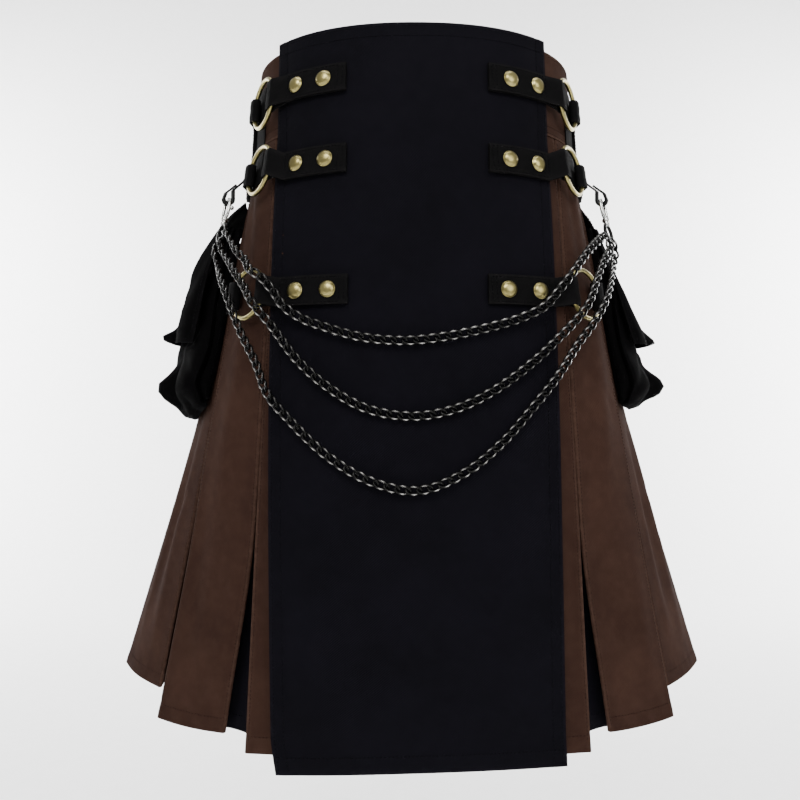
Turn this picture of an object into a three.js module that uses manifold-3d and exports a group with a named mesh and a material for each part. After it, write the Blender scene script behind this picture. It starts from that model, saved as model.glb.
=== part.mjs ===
// Hybrid kilt in its worn, hollow form: a brown pleated skirt with black pleat insets under a yoke,
// a black front apron held by three pairs of straps and rings, a black pocket on each hip, and
// three curb chains hanging in front between two snap hooks.
// Millimetres, +Z up, the front faces -Y. The origin is the centre of the waist opening.
import * as THREE from "three";
import { mergeVertices } from "three/addons/utils/BufferGeometryUtils.js";
import Module from "manifold-3d";

const wasm = await Module();
wasm.setup();

// Driving dimensions
const CLOTH = 1.6;
const SEAM_GAP = 0.4;
const YOKE_TOP = -7;
const YOKE_BOTTOM = -85;
const PLEAT_TOP = YOKE_BOTTOM - SEAM_GAP;
const HIP = -200;
const THIGH = -400;
const HEM = -592;
const INSET_HEM = -589;
const STRAP_HEIGHT = 24;
const STRAP_PLY = 1.3;
const RING_RADIUS = 21;
const RING_WIRE = 4;
const STUD_RADIUS = 6.9;
const STUD_DOME = 3.6;

// How finely curves are followed, and the length of skin a direction is measured over.
const SECTION_STEPS = 240;
const YOKE_COLUMNS = 30;
const FACE_STEPS = 4;
const FRONT_STEPS = 6;
const RING_STEPS = 22;
const GATHER_STEPS = 18;
const WIRE_SIDES = 6;
const STUD_STEPS = 12;
const SKIN_SPAN = 7;

// The figure's sections: half width at the widest place, and the front, widest and back places on Y.
const SECTIONS = [
  { z: 0, halfWidth: 147, front: -102, widest: 0, back: 104, power: 2.2 },
  { z: YOKE_BOTTOM, halfWidth: 152, front: -114, widest: 0, back: 112, power: 2.2 },
];

// Fold lines of the right half, from the front to the back. Each is a length along the section at the
// yoke, then a place in plan at hip, thigh and hem. A fold with no hip and thigh runs straight.
const FOLDS = {
  frontRear: { yoke: 130, hip: [123, -96], thigh: [130, -120], hem: [136, -135] },
  firstFront: { yoke: 132.2, hip: [124.7, -94.3], thigh: [131.8, -118], hem: [161, -103] },
  firstRear: { yoke: 198, hip: [162, -50], thigh: [189, -80], hem: [226, -75] },
  secondFront: { yoke: 200.2, hip: [166, -38], thigh: [203, -33], hem: [246, -14] },
  secondRear: { yoke: 265, hip: [184, 38], thigh: [243, 43], hem: [303, 49] },
  thirdFront: { yoke: 267.2, hem: [281, 108] },
  thirdRear: { yoke: 330, hem: [222, 162] },
  fourthFront: { yoke: 332.2, hem: [167, 189] },
  fourthRear: { yoke: 393, hem: [90, 209] },
  backFront: { yoke: 395.2, hem: [33, 216] },
};
const PANEL_FOLDS = [
  ["firstFront", "firstRear"],
  ["secondFront", "secondRear"],
  ["thirdFront", "thirdRear"],
  ["fourthFront", "fourthRear"],
];
const INSET_FOLDS = [
  ["frontRear", "firstFront"],
  ["firstRear", "secondFront"],
  ["secondRear", "thirdFront"],
  ["thirdRear", "fourthFront"],
  ["fourthRear", "backFront"],
];

// How far the front panel's centre lies forward, and how deep a pleat goes behind its fold.
const FRONT_CENTRE = [
  { z: YOKE_BOTTOM, y: -114 },
  { z: HIP, y: -124 },
  { z: THIGH, y: -134 },
  { z: HEM, y: -142 },
];
const FRONT_POWER = 2.5;
const PLEAT_DEPTH = [
  { z: YOKE_BOTTOM, depth: 3.2 },
  { z: HIP, depth: 5 },
  { z: THIGH, depth: 8 },
  { z: HEM, depth: 12 },
];
const PLEAT_RETURN = 11;
const FOLD_RADIUS = 1.2;
const INSET_BEHIND = 2.2;
const HEM_BOW = 3;
const INSET_BOW = 6;
const PANEL_LEVELS = [PLEAT_TOP, -140, HIP, -300, THIGH, -500, HEM];
const INSET_LEVELS = [PLEAT_TOP, HIP, -300, THIGH, -500, INSET_HEM];

// The apron: its half width along the cloth and its stand-off from what lies behind it.
const APRON = [
  { z: 0, half: 122, off: 2.6 },
  { z: YOKE_BOTTOM, half: 122, off: 3.0 },
  { z: HIP, half: 120, off: 4.0 },
  { z: THIGH, half: 116, off: 8.0 },
  { z: -600, half: 113, off: 13.0 },
];
const APRON_LEVELS = [0, -40, YOKE_BOTTOM, -140, HIP, -300, THIGH, -500, -600];
const APRON_COLUMNS = 16;

// Strap rows: height of the strap and of its ring, the strap's end and its two studs along the cloth.
const ROWS = [
  { z: -46.5, ringZ: -50, end: 58, inner: 77, outer: 103 },
  { z: -117, ringZ: -113, end: 57, inner: 74.5, outer: 101 },
  { z: -226, ringZ: -225, end: 55, inner: 71, outer: 98 },
];
const RING_ARC = 145;
const RING_OFF = 6.5;
const RING_LEAN = 5;
const STRAP_LIFT = 0.9;
const STRAP_STEPS = 5;
const PLY_GAP = 0.35;
const EYE_CLEAR = 0.5;
const EYE_RAMP = 8;
const EYE_HALF = RING_WIRE / 2 + EYE_CLEAR + STRAP_PLY / 2;

// Hip tab, hip strap and thong, by their length along the skin.
const TAB_FRONT = 178;
const TAB_REAR = 213;
const TAB_LEVELS = [-30, -50, -70, YOKE_BOTTOM, -95, -108, -122];
const TAB_COLUMNS = 5;
const TAB_OFF = 3.6;
const TAB_LAP = 9;
const EYE_HEIGHT = 20;
const EYE_STRAP_OFF = 3;
const HIP_STRAP_END = 197;
const HIP_STRAP_OFF = CLOTH / 2 + SEAM_GAP + STRAP_PLY / 2 + 0.4;
const THONG_WIDTH = 4.4;
const THONG_THICK = 1.8;
const THONG_CLEAR = 1.9;
const THONG_ROOT_ARC = 205;
const THONG_ROOT = [
  { z: -84, off: 5 },
  { z: -93, off: 6.5 },
  { z: -102, off: 10 },
];

// Snap hook: where its top bar hangs, the way it faces and its sizes.
const UP = new THREE.Vector3(0, 0, 1);
const HOOK_TOP = new THREE.Vector3(170, -53, -132.5);
const HOOK_OUT = new THREE.Vector3(0.82, -0.57, 0).normalize();
const HOOK_ALONG = new THREE.Vector3(0.57, 0.82, 0).normalize();
const HOOK_WAY = new THREE.Vector3(0.12, -0.22, -0.97).normalize();
const HOOK_WIDTH = 15;
const HOOK_LENGTH = 22;
const HOOK_BAR = 3.2;
const NECK_RADIUS = 2.6;
const NECK_LENGTH = 8;
const NECK_SUNK = 1;
const GATHER_RADIUS = 8.5;
const GATHER_WIRE = 3;
const GATHER_DROP = HOOK_LENGTH - HOOK_BAR + NECK_LENGTH - 2 * NECK_SUNK + GATHER_RADIUS;
const HOOK_FACE = HOOK_ALONG.clone().cross(HOOK_WAY).normalize();
const HOOK_ACROSS = HOOK_WAY.clone().cross(HOOK_FACE).normalize();

// Pocket: its front half's folds across the face, and its levels from the top down.
const POCKET_OFF = 2.4;
const POUCH_COLUMNS = [
  { share: 0.08, out: POCKET_OFF },
  { share: 0.05, out: 8 },
  { share: 0.13, out: 13 },
  { share: 0.06, out: 18 },
  { share: 0.14, out: 23 },
  { share: 0.34, out: 25 },
  { share: 0.5, out: 22 },
];
const POUCH_LEVELS = [
  { z: -152, fill: 0.5 },
  { z: -185, fill: 0.72 },
  { z: -225, fill: 0.82 },
  { z: -262, fill: 0.8 },
  { z: -303, fill: 1.1 },
  { z: -318, fill: 0.72 },
  { z: -327, fill: 0.4 },
  { z: -329, fill: 0.08 },
];
const FLAP_COLUMNS = [
  { share: 0.06, out: 24 },
  { share: 0.13, out: 29 },
  { share: 0.28, out: 31 },
  { share: 0.4, out: 29 },
  { share: 0.5, out: 27 },
];
const FLAP_LEVELS = [
  { z: -127, fill: 0.0 },
  { z: -140, fill: 0.36 },
  { z: -160, fill: 0.6 },
  { z: -192, fill: 0.86 },
  { z: -228, fill: 0.98 },
  { z: -262, fill: 1.12 },
];

// Chains: each leaves its gather ring at an angle below the forward direction. Between the rings a row
// is a length along the skin from the front centre, a height and a stand-off from the skin.
const CHAIN_WIDTH = 9;
const CHAIN_SIDES = 8;
const CHAIN_STEP = 10;
const CHAIN_CLEAR = 0.5;
const CHAIN_LEAD = 6;
const CHAINS = [
  {
    leave: 25,
    rows: [
      { s: -151, z: -188, out: 18 },
      { s: -141, z: -197, out: 17.5 },
      { s: -130, z: -207, out: 23 },
      { s: -120, z: -216, out: 21 },
      { s: -112, z: -227, out: 17.5 },
      { s: -104, z: -239, out: 16.5 },
      { s: -91, z: -249, out: 12.5 },
      { s: -74, z: -256, out: 11.5 },
      { s: -44, z: -265, out: 11.5 },
      { s: -10, z: -268, out: 11.5 },
      { s: 25, z: -264, out: 11.5 },
      { s: 59, z: -256, out: 11.5 },
      { s: 80, z: -249, out: 12.5 },
      { s: 98, z: -239, out: 16.5 },
      { s: 110, z: -225, out: 17.5 },
      { s: 122, z: -209, out: 20 },
      { s: 133, z: -196, out: 19 },
      { s: 145, z: -185, out: 18 },
    ],
  },
  {
    leave: 76,
    rows: [
      { s: -163, z: -194, out: 18 },
      { s: -150, z: -208, out: 18 },
      { s: -138, z: -221, out: 20 },
      { s: -128, z: -235, out: 21 },
      { s: -116, z: -254, out: 13 },
      { s: -95, z: -281, out: 12.5 },
      { s: -71, z: -303, out: 12.5 },
      { s: -40, z: -321, out: 12.5 },
      { s: -5, z: -327, out: 12.5 },
      { s: 29, z: -321, out: 12.5 },
      { s: 61, z: -305, out: 12.5 },
      { s: 94, z: -280, out: 12.5 },
      { s: 110, z: -265, out: 13.5 },
      { s: 125, z: -250, out: 15 },
      { s: 136, z: -235, out: 19 },
      { s: 147, z: -215, out: 18.5 },
      { s: 162, z: -194, out: 18 },
    ],
  },
  {
    leave: 127,
    rows: [
      { s: -181, z: -194, out: 21 },
      { s: -168, z: -208, out: 21 },
      { s: -158, z: -224, out: 20 },
      { s: -151, z: -243, out: 16 },
      { s: -145, z: -261, out: 10.5 },
      { s: -132, z: -284, out: 8.5 },
      { s: -119, z: -309, out: 12 },
      { s: -101, z: -328, out: 14 },
      { s: -69, z: -358, out: 14.5 },
      { s: -34, z: -378, out: 15 },
      { s: 0, z: -384, out: 15 },
      { s: 34, z: -371, out: 14.5 },
      { s: 64, z: -347, out: 14 },
      { s: 88, z: -320, out: 13.5 },
      { s: 110, z: -294, out: 13.5 },
      { s: 132, z: -268, out: 9 },
      { s: 146, z: -249, out: 14 },
      { s: 157, z: -228, out: 20 },
      { s: 168, z: -209, out: 21 },
      { s: 181, z: -194, out: 21 },
    ],
  },
];

const COLOURS = {
  brown: { color: 0x4a362c, roughness: 0.85, metalness: 0 },
  black: { color: 0x111116, roughness: 0.8, metalness: 0 },
  brass: { color: 0x8f7440, roughness: 0.35, metalness: 1 },
  steel: { color: 0xb8b8b4, roughness: 0.3, metalness: 1 },
  gunmetal: { color: 0x2e2c2e, roughness: 0.35, metalness: 1 },
};

const kilt = new THREE.Group();

function addMesh(name, geometry, colour) {
  const mesh = new THREE.Mesh(geometry, new THREE.MeshStandardMaterial(COLOURS[colour]));
  mesh.name = name;
  kilt.add(mesh);
  return mesh;
}

// Plan vectors
const add = (p, q, k = 1) => [p[0] + q[0] * k, p[1] + q[1] * k];
const between = (p, q, f) => [p[0] + (q[0] - p[0]) * f, p[1] + (q[1] - p[1]) * f];
const length2 = (p) => Math.hypot(p[0], p[1]);
const unit = (p) => [p[0] / length2(p), p[1] / length2(p)];
const outward = (u) => [u[1], -u[0]];
const distance = (p, q) => Math.hypot(q[0] - p[0], q[1] - p[1]);

// The row of a table at a height, each column worked out between the two rows around it.
function rowAt(table, z) {
  let k = 0;
  while (k < table.length - 2 && z < table[k + 1].z) k += 1;
  const upper = table[k];
  const lower = table[k + 1];
  const f = Math.min(1, Math.max(0, (upper.z - z) / (upper.z - lower.z)));
  const row = {};
  for (const key of Object.keys(upper)) row[key] = upper[key] + (lower[key] - upper[key]) * f;
  return row;
}

// A line of plan points with its running length.
function measured(points) {
  const run = [0];
  for (let i = 1; i < points.length; i++) run.push(run[i - 1] + distance(points[i - 1], points[i]));
  return { points, run, total: run[run.length - 1] };
}

function alongLine(line, s) {
  const at = Math.min(line.total, Math.max(0, s));
  let k = 0;
  while (k < line.run.length - 2 && line.run[k + 1] < at) k += 1;
  const f = (at - line.run[k]) / (line.run[k + 1] - line.run[k]);
  return between(line.points[k], line.points[k + 1], f);
}

// Half of the figure's section at a height, from the front centre to the back centre.
function sectionLine(z) {
  const s = rowAt(SECTIONS, z);
  const points = [];
  for (let i = 0; i <= SECTION_STEPS; i++) {
    const angle = (Math.PI * i) / SECTION_STEPS;
    const across = Math.sin(angle) ** (2 / s.power);
    const along = Math.abs(Math.cos(angle)) ** (2 / s.power);
    const depth = i * 2 < SECTION_STEPS ? s.front - s.widest : s.back - s.widest;
    points.push([s.halfWidth * across, s.widest + depth * along]);
  }
  return measured(points);
}
const YOKE_LINE = sectionLine(YOKE_BOTTOM);

// A fold's place in plan at a height.
function foldPoint(name, z) {
  const fold = FOLDS[name];
  const top = alongLine(YOKE_LINE, fold.yoke);
  const stops = [{ z: YOKE_BOTTOM, x: top[0], y: top[1] }];
  if (fold.hip) stops.push({ z: HIP, x: fold.hip[0], y: fold.hip[1] });
  if (fold.thigh) stops.push({ z: THIGH, x: fold.thigh[0], y: fold.thigh[1] });
  stops.push({ z: HEM, x: fold.hem[0], y: fold.hem[1] });
  const row = rowAt(stops, z);
  return [row.x, row.y];
}

// How far a face between two folds bows out: the section's own curve at the yoke, flatter at the hem.
function bowBetween(front, rear, z) {
  const a = alongLine(YOKE_LINE, FOLDS[front].yoke);
  const b = alongLine(YOKE_LINE, FOLDS[rear].yoke);
  const middle = alongLine(YOKE_LINE, (FOLDS[front].yoke + FOLDS[rear].yoke) / 2);
  const yokeBow = distance(middle, between(a, b, 0.5));
  const f = (YOKE_BOTTOM - z) / (YOKE_BOTTOM - HEM);
  return yokeBow + (HEM_BOW - yokeBow) * f;
}

function faceLine(a, b, bow) {
  const out = outward(unit(add(b, a, -1)));
  const points = [];
  for (let i = 0; i <= FACE_STEPS; i++) {
    const f = i / FACE_STEPS;
    points.push(add(between(a, b, f), out, bow * 4 * f * (1 - f)));
  }
  return points;
}

// Right half of the front panel's face, from the centre to its fold.
function frontLine(z) {
  const fold = foldPoint("frontRear", z);
  const centre = rowAt(FRONT_CENTRE, z).y;
  const points = [];
  for (let i = 0; i <= FRONT_STEPS; i++) {
    const f = i / FRONT_STEPS;
    points.push([fold[0] * f, centre + (fold[1] - centre) * f ** FRONT_POWER]);
  }
  return points;
}

function panelLine(front, rear, z) {
  return faceLine(foldPoint(front, z), foldPoint(rear, z), bowBetween(front, rear, z));
}

// The outer skin of the right half at a height: the section on the yoke, the faces below it.
function skinLine(z) {
  if (z > PLEAT_TOP) return sectionLine(z);
  const faces = PANEL_FOLDS.map(([front, rear]) => panelLine(front, rear, z));
  return measured([...frontLine(z), ...faces.flat()]);
}

// A point on the skin, by its length from the front centre (left is negative) and its stand-off.
function skinPoint(line, s, out = 0) {
  const side = Math.sign(s) || 1;
  const here = alongLine(line, Math.abs(s));
  const before = Math.abs(s) < SKIN_SPAN ? [-SKIN_SPAN, here[1]] : alongLine(line, Math.abs(s) - SKIN_SPAN);
  const after = alongLine(line, Math.abs(s) + SKIN_SPAN);
  const point = add(here, outward(unit(add(after, before, -1))), out);
  return [side * point[0], point[1]];
}
function skinAt(s, z, out = 0) {
  const [x, y] = skinPoint(skinLine(z), s, out);
  return [x, y, z];
}

// Solids
function solidGeometry(positions, faces) {
  const geometry = new THREE.BufferGeometry();
  geometry.setAttribute("position", new THREE.Float32BufferAttribute(positions.flat(), 3));
  geometry.setIndex(faces.flat());
  geometry.computeVertexNormals();
  return geometry;
}

// A wall of even thickness on a grid of points, rows from the top down and columns from left to right
// as seen from outside. A closed wall runs on from its last column to its first.
function wall(grid, thickness = CLOTH, closed = false) {
  const rows = grid.length;
  const columns = grid[0].length;
  const at = (r, c) => {
    const row = grid[Math.min(rows - 1, Math.max(0, r))];
    const column = closed ? (c + columns) % columns : Math.min(columns - 1, Math.max(0, c));
    return new THREE.Vector3(...row[column]);
  };
  const positions = [];
  for (const side of [0.5, -0.5]) {
    for (let r = 0; r < rows; r++) {
      for (let c = 0; c < columns; c++) {
        const across = at(r, c + 1).sub(at(r, c - 1));
        const down = at(r + 1, c).sub(at(r - 1, c));
        const normal = down.cross(across).normalize();
        positions.push(at(r, c).addScaledVector(normal, side * thickness).toArray());
      }
    }
  }
  const outer = (r, c) => r * columns + (c % columns);
  const inner = (r, c) => rows * columns + outer(r, c);
  const faces = [];
  const quad = (a, b, c, d) => faces.push([a, b, c], [a, c, d]);
  const spans = closed ? columns : columns - 1;
  for (let r = 0; r < rows - 1; r++) {
    for (let c = 0; c < spans; c++) {
      quad(outer(r, c), outer(r + 1, c), outer(r + 1, c + 1), outer(r, c + 1));
      quad(inner(r, c), inner(r, c + 1), inner(r + 1, c + 1), inner(r + 1, c));
    }
  }
  for (let c = 0; c < spans; c++) {
    quad(outer(0, c), outer(0, c + 1), inner(0, c + 1), inner(0, c));
    quad(outer(rows - 1, c), inner(rows - 1, c), inner(rows - 1, c + 1), outer(rows - 1, c + 1));
  }
  if (!closed) {
    const last = columns - 1;
    for (let r = 0; r < rows - 1; r++) {
      quad(outer(r, 0), inner(r, 0), inner(r + 1, 0), outer(r + 1, 0));
      quad(outer(r, last), outer(r + 1, last), inner(r + 1, last), inner(r, last));
    }
  }
  return solidGeometry(positions, faces);
}

function mirrorGeometry(geometry) {
  const copy = geometry.clone();
  copy.applyMatrix4(new THREE.Matrix4().makeScale(-1, 1, 1));
  const index = copy.index.array;
  for (let i = 0; i < index.length; i += 3) [index[i + 1], index[i + 2]] = [index[i + 2], index[i + 1]];
  copy.computeVertexNormals();
  return copy;
}

// A piece of the right side and its mirrored twin on the left.
function addPair(name, geometry, colour, ending = "") {
  addMesh(`${name}_right${ending}`, geometry, colour);
  addMesh(`${name}_left${ending}`, mirrorGeometry(geometry), colour);
}

// The same for a turned piece whose axis is Y, stood on a frame of the right side.
function standPair(name, geometry, colour, frame, ending) {
  for (const [side, word] of [[1, "right"], [-1, "left"]]) {
    const mirror = new THREE.Vector3(side, 1, 1);
    const mesh = addMesh(`${name}_${word}${ending}`, geometry, colour);
    mesh.position.copy(frame.spot).multiply(mirror);
    mesh.quaternion.setFromUnitVectors(new THREE.Vector3(0, 1, 0), frame.out.clone().multiply(mirror));
  }
}

function joined(geometries) {
  const solids = geometries.map((geometry) => {
    const bare = geometry.clone();
    bare.deleteAttribute("normal");
    bare.deleteAttribute("uv");
    const merged = mergeVertices(bare, 1e-3);
    return new wasm.Manifold(
      new wasm.Mesh({
        numProp: 3,
        vertProperties: merged.attributes.position.array,
        triVerts: new Uint32Array(merged.index.array),
      }),
    );
  });
  const whole = solids.reduce((sum, solid) => sum.add(solid)).getMesh();
  const geometry = new THREE.BufferGeometry();
  geometry.setAttribute("position", new THREE.BufferAttribute(whole.vertProperties, 3));
  geometry.setIndex(new THREE.BufferAttribute(whole.triVerts, 1));
  geometry.computeVertexNormals();
  return geometry;
}

// Yoke
function makeYoke() {
  const grid = [YOKE_TOP, (YOKE_TOP + YOKE_BOTTOM) / 2, YOKE_BOTTOM].map((z) => {
    const line = sectionLine(z);
    const row = [];
    for (let i = -YOKE_COLUMNS; i < YOKE_COLUMNS; i++) {
      const [x, y] = skinPoint(line, (i / YOKE_COLUMNS) * line.total);
      row.push([x, y, z]);
    }
    return row;
  });
  addMesh("yoke", wall(grid, CLOTH, true), "brown");
}

// A pleat's turned edge behind a fold: the fold itself, then the return behind the face.
function foldReturn(fold, along, z, behind = 0) {
  const out = outward(along);
  const depth = rowAt(PLEAT_DEPTH, z).depth + behind;
  return add(add(fold, along, PLEAT_RETURN), out, -depth);
}
function frontTurn(fold, along, z) {
  const out = outward(along);
  return [
    foldReturn(fold, along, z),
    add(add(fold, along, FOLD_RADIUS), out, -2 * FOLD_RADIUS),
    add(fold, out, -FOLD_RADIUS),
  ];
}
function rearTurn(fold, along, z) {
  const back = [-along[0], -along[1]];
  const out = outward(along);
  return [
    add(fold, out, -FOLD_RADIUS),
    add(add(fold, back, FOLD_RADIUS), out, -2 * FOLD_RADIUS),
    rearReturn(fold, along, z),
  ];
}
function rearReturn(fold, along, z, behind = 0) {
  const depth = rowAt(PLEAT_DEPTH, z).depth + behind;
  return add(add(fold, along, -PLEAT_RETURN), outward(along), -depth);
}

// Directions of a face at its front and rear folds.
function faceDirections(face) {
  const last = face.length - 1;
  return [unit(add(face[1], face[0], -1)), unit(add(face[last], face[last - 1], -1))];
}

// A face whose first and last points are drawn in by the fold's radius, with both turned edges.
function panelSection(face, z) {
  const [frontWay, rearWay] = faceDirections(face);
  const last = face.length - 1;
  return [
    ...frontTurn(face[0], frontWay, z),
    add(face[0], frontWay, FOLD_RADIUS),
    ...face.slice(1, last),
    add(face[last], rearWay, -FOLD_RADIUS),
    ...rearTurn(face[last], rearWay, z),
  ].map(([x, y]) => [x, y, z]);
}

function wholeFrontLine(z) {
  const half = frontLine(z);
  return [...half.slice(1).reverse().map(([x, y]) => [-x, y]), ...half];
}

function backLine(z) {
  const fold = foldPoint("backFront", z);
  const half = alongLine(YOKE_LINE, YOKE_LINE.total);
  const bow = half[1] - foldPoint("backFront", YOKE_BOTTOM)[1];
  const f = (YOKE_BOTTOM - z) / (YOKE_BOTTOM - HEM);
  return faceLine(fold, [-fold[0], fold[1]], bow + (HEM_BOW - bow) * f);
}

function makeSkirt() {
  const levels = (line) => PANEL_LEVELS.map((z) => panelSection(line(z), z));
  addMesh("front_panel", wall(levels(wholeFrontLine)), "brown");
  addMesh("panel_back", wall(levels(backLine)), "brown");
  PANEL_FOLDS.forEach(([front, rear], i) => {
    const grid = levels((z) => panelLine(front, rear, z));
    addPair("panel", wall(grid), "brown", `_${i + 1}`);
  });
}

// Directions of the two faces on either side of a gap, at the folds that bound it.
function gapDirections(index, z) {
  const faceBefore = index === 0 ? frontLine(z) : panelLine(...PANEL_FOLDS[index - 1], z);
  const faceAfter = index < PANEL_FOLDS.length ? panelLine(...PANEL_FOLDS[index], z) : backLine(z);
  return [faceDirections(faceBefore)[1], faceDirections(faceAfter)[0]];
}

function makeInsets() {
  INSET_FOLDS.forEach(([rear, front], index) => {
    const grid = INSET_LEVELS.map((z) => {
      const [before, after] = gapDirections(index, z);
      const a = rearReturn(foldPoint(rear, z), before, z, INSET_BEHIND);
      const b = foldReturn(foldPoint(front, z), after, z, INSET_BEHIND);
      const f = (YOKE_BOTTOM - z) / (YOKE_BOTTOM - HEM);
      return faceLine(a, b, -INSET_BOW * f).map(([x, y]) => [x, y, z]);
    });
    addPair("inset", wall(grid), "black", `_${index + 1}`);
  });
}

// Apron
function makeApron() {
  const grid = APRON_LEVELS.map((z) => {
    const row = rowAt(APRON, z);
    const line = skinLine(Math.max(z, HEM));
    const points = [];
    for (let i = 0; i <= APRON_COLUMNS; i++) {
      const s = row.half * ((2 * i) / APRON_COLUMNS - 1);
      const [x, y] = skinPoint(line, s, row.off);
      points.push([x, y, z]);
    }
    return points;
  });
  addMesh("apron", wall(grid), "black");
}

// Where a ring or a stud sits: its place on the skin, the way out, the way along and the way down.
function frameAt(s, z, out) {
  const spot = new THREE.Vector3(...skinAt(s, z, out));
  const near = skinAt(s - SKIN_SPAN, z, out);
  const far = skinAt(s + SKIN_SPAN, z, out);
  const along = new THREE.Vector3(far[0] - near[0], far[1] - near[1], 0).normalize();
  const above = new THREE.Vector3(...skinAt(s, z + SKIN_SPAN, out));
  const down = new THREE.Vector3(...skinAt(s, z - SKIN_SPAN, out)).sub(above).normalize();
  const normal = down.cross(along).normalize();
  return { spot, along, out: normal, down: along.clone().cross(normal) };
}
const framePoint = (frame, along, out, down) =>
  frame.spot
    .clone()
    .addScaledVector(frame.along, along)
    .addScaledVector(frame.out, out)
    .addScaledVector(frame.down, down)
    .toArray();

// A strap of two plies on the skin, folded into an eye round a ring's wire. The eye is on the side of
// the ring that way names: -1 towards the front, +1 towards the back.
function eyedStrap(freeEnd, low, z, height, ring, way) {
  const high = low + STRAP_PLY + PLY_GAP;
  const inside = RING_RADIUS - RING_WIRE / 2;
  const tip = Math.sqrt(inside ** 2 - (height / 2) ** 2) - EYE_CLEAR - STRAP_PLY / 2;
  const root = RING_RADIUS + RING_WIRE / 2 + EYE_CLEAR;
  const plies = [];
  const plyEnd = RING_ARC + way * (root + EYE_RAMP);
  for (let i = 0; i <= STRAP_STEPS; i++) plies.push(freeEnd + ((plyEnd - freeEnd) * i) / STRAP_STEPS);
  const eye = [
    [way * root, -EYE_HALF],
    [way * (tip + EYE_HALF), -EYE_HALF],
    [way * (tip + EYE_HALF * 0.25), -EYE_HALF * 0.7],
    [way * tip, 0],
    [way * (tip + EYE_HALF * 0.25), EYE_HALF * 0.7],
    [way * (tip + EYE_HALF), EYE_HALF],
    [way * root, EYE_HALF],
  ];
  return [-0.5, 0.5].map((edge) => {
    const edgeZ = z - edge * height;
    const line = skinLine(edgeZ);
    const onSkin = (s, out) => [...skinPoint(line, s, out), edgeZ];
    const row = [
      ...plies.map((s) => onSkin(s, low)),
      ...eye.map(([along, out]) => framePoint(ring, along, out, edge * height)),
      ...plies.map((s) => onSkin(s, high)).reverse(),
    ];
    return way < 0 ? row.reverse() : row;
  });
}

const strapLow = (z) => rowAt(APRON, z).off + CLOTH / 2 + STRAP_LIFT + STRAP_PLY / 2;
const strapTop = (z) => strapLow(z) + STRAP_PLY * 1.5 + PLY_GAP;
const ringOff = (z) => RING_OFF + rowAt(APRON, z).off - APRON[0].off;

// A ring leans back round the hip, so its rear lies closer to the skin than its front.
function ringFrame(row) {
  const { spot, along, out, down } = frameAt(RING_ARC, row.ringZ, ringOff(row.z));
  const lean = -THREE.MathUtils.degToRad(RING_LEAN);
  return {
    spot,
    along: along.clone().applyAxisAngle(down, lean),
    out: out.clone().applyAxisAngle(down, lean),
    down,
  };
}

function makeApronStraps() {
  ROWS.forEach((row, i) => {
    const grid = eyedStrap(row.end, strapLow(row.z), row.z, STRAP_HEIGHT, ringFrame(row), -1);
    addPair("apron_strap", wall(grid, STRAP_PLY), "black", `_${i + 1}`);
  });
}

// Rings and studs
function ringGeometry(radius, wire, steps = RING_STEPS) {
  const profile = [];
  for (let i = 0; i <= WIRE_SIDES; i++) {
    const angle = (2 * Math.PI * (i + 0.5)) / WIRE_SIDES;
    profile.push(new THREE.Vector2(radius + (wire / 2) * Math.cos(angle), (wire / 2) * Math.sin(angle)));
  }
  return new THREE.LatheGeometry(profile, steps);
}

function makeRings() {
  ROWS.forEach((row, i) => {
    standPair("ring", ringGeometry(RING_RADIUS, RING_WIRE), "brass", ringFrame(row), `_${i + 1}`);
  });
}

function studGeometry() {
  const profile = [
    new THREE.Vector2(0, 0),
    new THREE.Vector2(STUD_RADIUS * 0.92, 0),
    new THREE.Vector2(STUD_RADIUS, STUD_DOME * 0.25),
    new THREE.Vector2(STUD_RADIUS * 0.72, STUD_DOME * 0.78),
    new THREE.Vector2(0, STUD_DOME),
  ];
  return new THREE.LatheGeometry(profile, STUD_STEPS);
}

function makeStuds() {
  ROWS.forEach((row, i) => {
    for (const place of ["inner", "outer"]) {
      const frame = frameAt(row[place], row.z, strapTop(row.z) + SEAM_GAP);
      standPair("stud", studGeometry(), "brass", frame, `_${i + 1}_${place}`);
    }
  });
}

// Hip tab: one black piece behind the two upper rings, with an eye round each and a narrow thong
// that goes round the snap hook's top bar.
function tabWall() {
  const grid = TAB_LEVELS.map((z) => {
    const line = skinLine(z);
    const row = [];
    for (let i = 0; i <= TAB_COLUMNS; i++) {
      const s = TAB_FRONT + ((TAB_REAR - TAB_FRONT) * i) / TAB_COLUMNS;
      row.push([...skinPoint(line, s, TAB_OFF), z]);
    }
    return row;
  });
  return wall(grid, 2 * STRAP_PLY);
}

function thongWall() {
  const around = HOOK_BAR / 2 + THONG_CLEAR + THONG_THICK / 2;
  const wrap = [
    { out: -around, up: 9 },
    { out: -around, up: 0 },
    { out: -around * 0.7, up: -around * 0.7 },
    { out: 0, up: -around },
    { out: around * 0.7, up: -around * 0.7 },
    { out: around, up: 0 },
    { out: around * 0.5, up: 6 },
    { out: 1.3 * THONG_THICK - around, up: 10 },
  ];
  const rows = [
    ...THONG_ROOT.map(({ z, off }) => new THREE.Vector3(...skinAt(THONG_ROOT_ARC, z, off))),
    ...wrap.map(({ out, up }) => HOOK_TOP.clone().addScaledVector(HOOK_OUT, out).addScaledVector(UP, up)),
  ];
  const grid = rows.map((point) =>
    [-0.5, 0.5].map((k) => point.clone().addScaledVector(HOOK_ALONG, k * THONG_WIDTH).toArray()),
  );
  return wall(grid, THONG_THICK);
}

function makeHipTabs() {
  const eyes = ROWS.slice(0, 2).map((row) => {
    const lapped = TAB_FRONT + TAB_LAP;
    const grid = eyedStrap(lapped, EYE_STRAP_OFF, row.ringZ, EYE_HEIGHT, ringFrame(row), 1);
    return wall(grid, STRAP_PLY);
  });
  addPair("hip_tab", joined([tabWall(), ...eyes, thongWall()]), "black");
}

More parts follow.
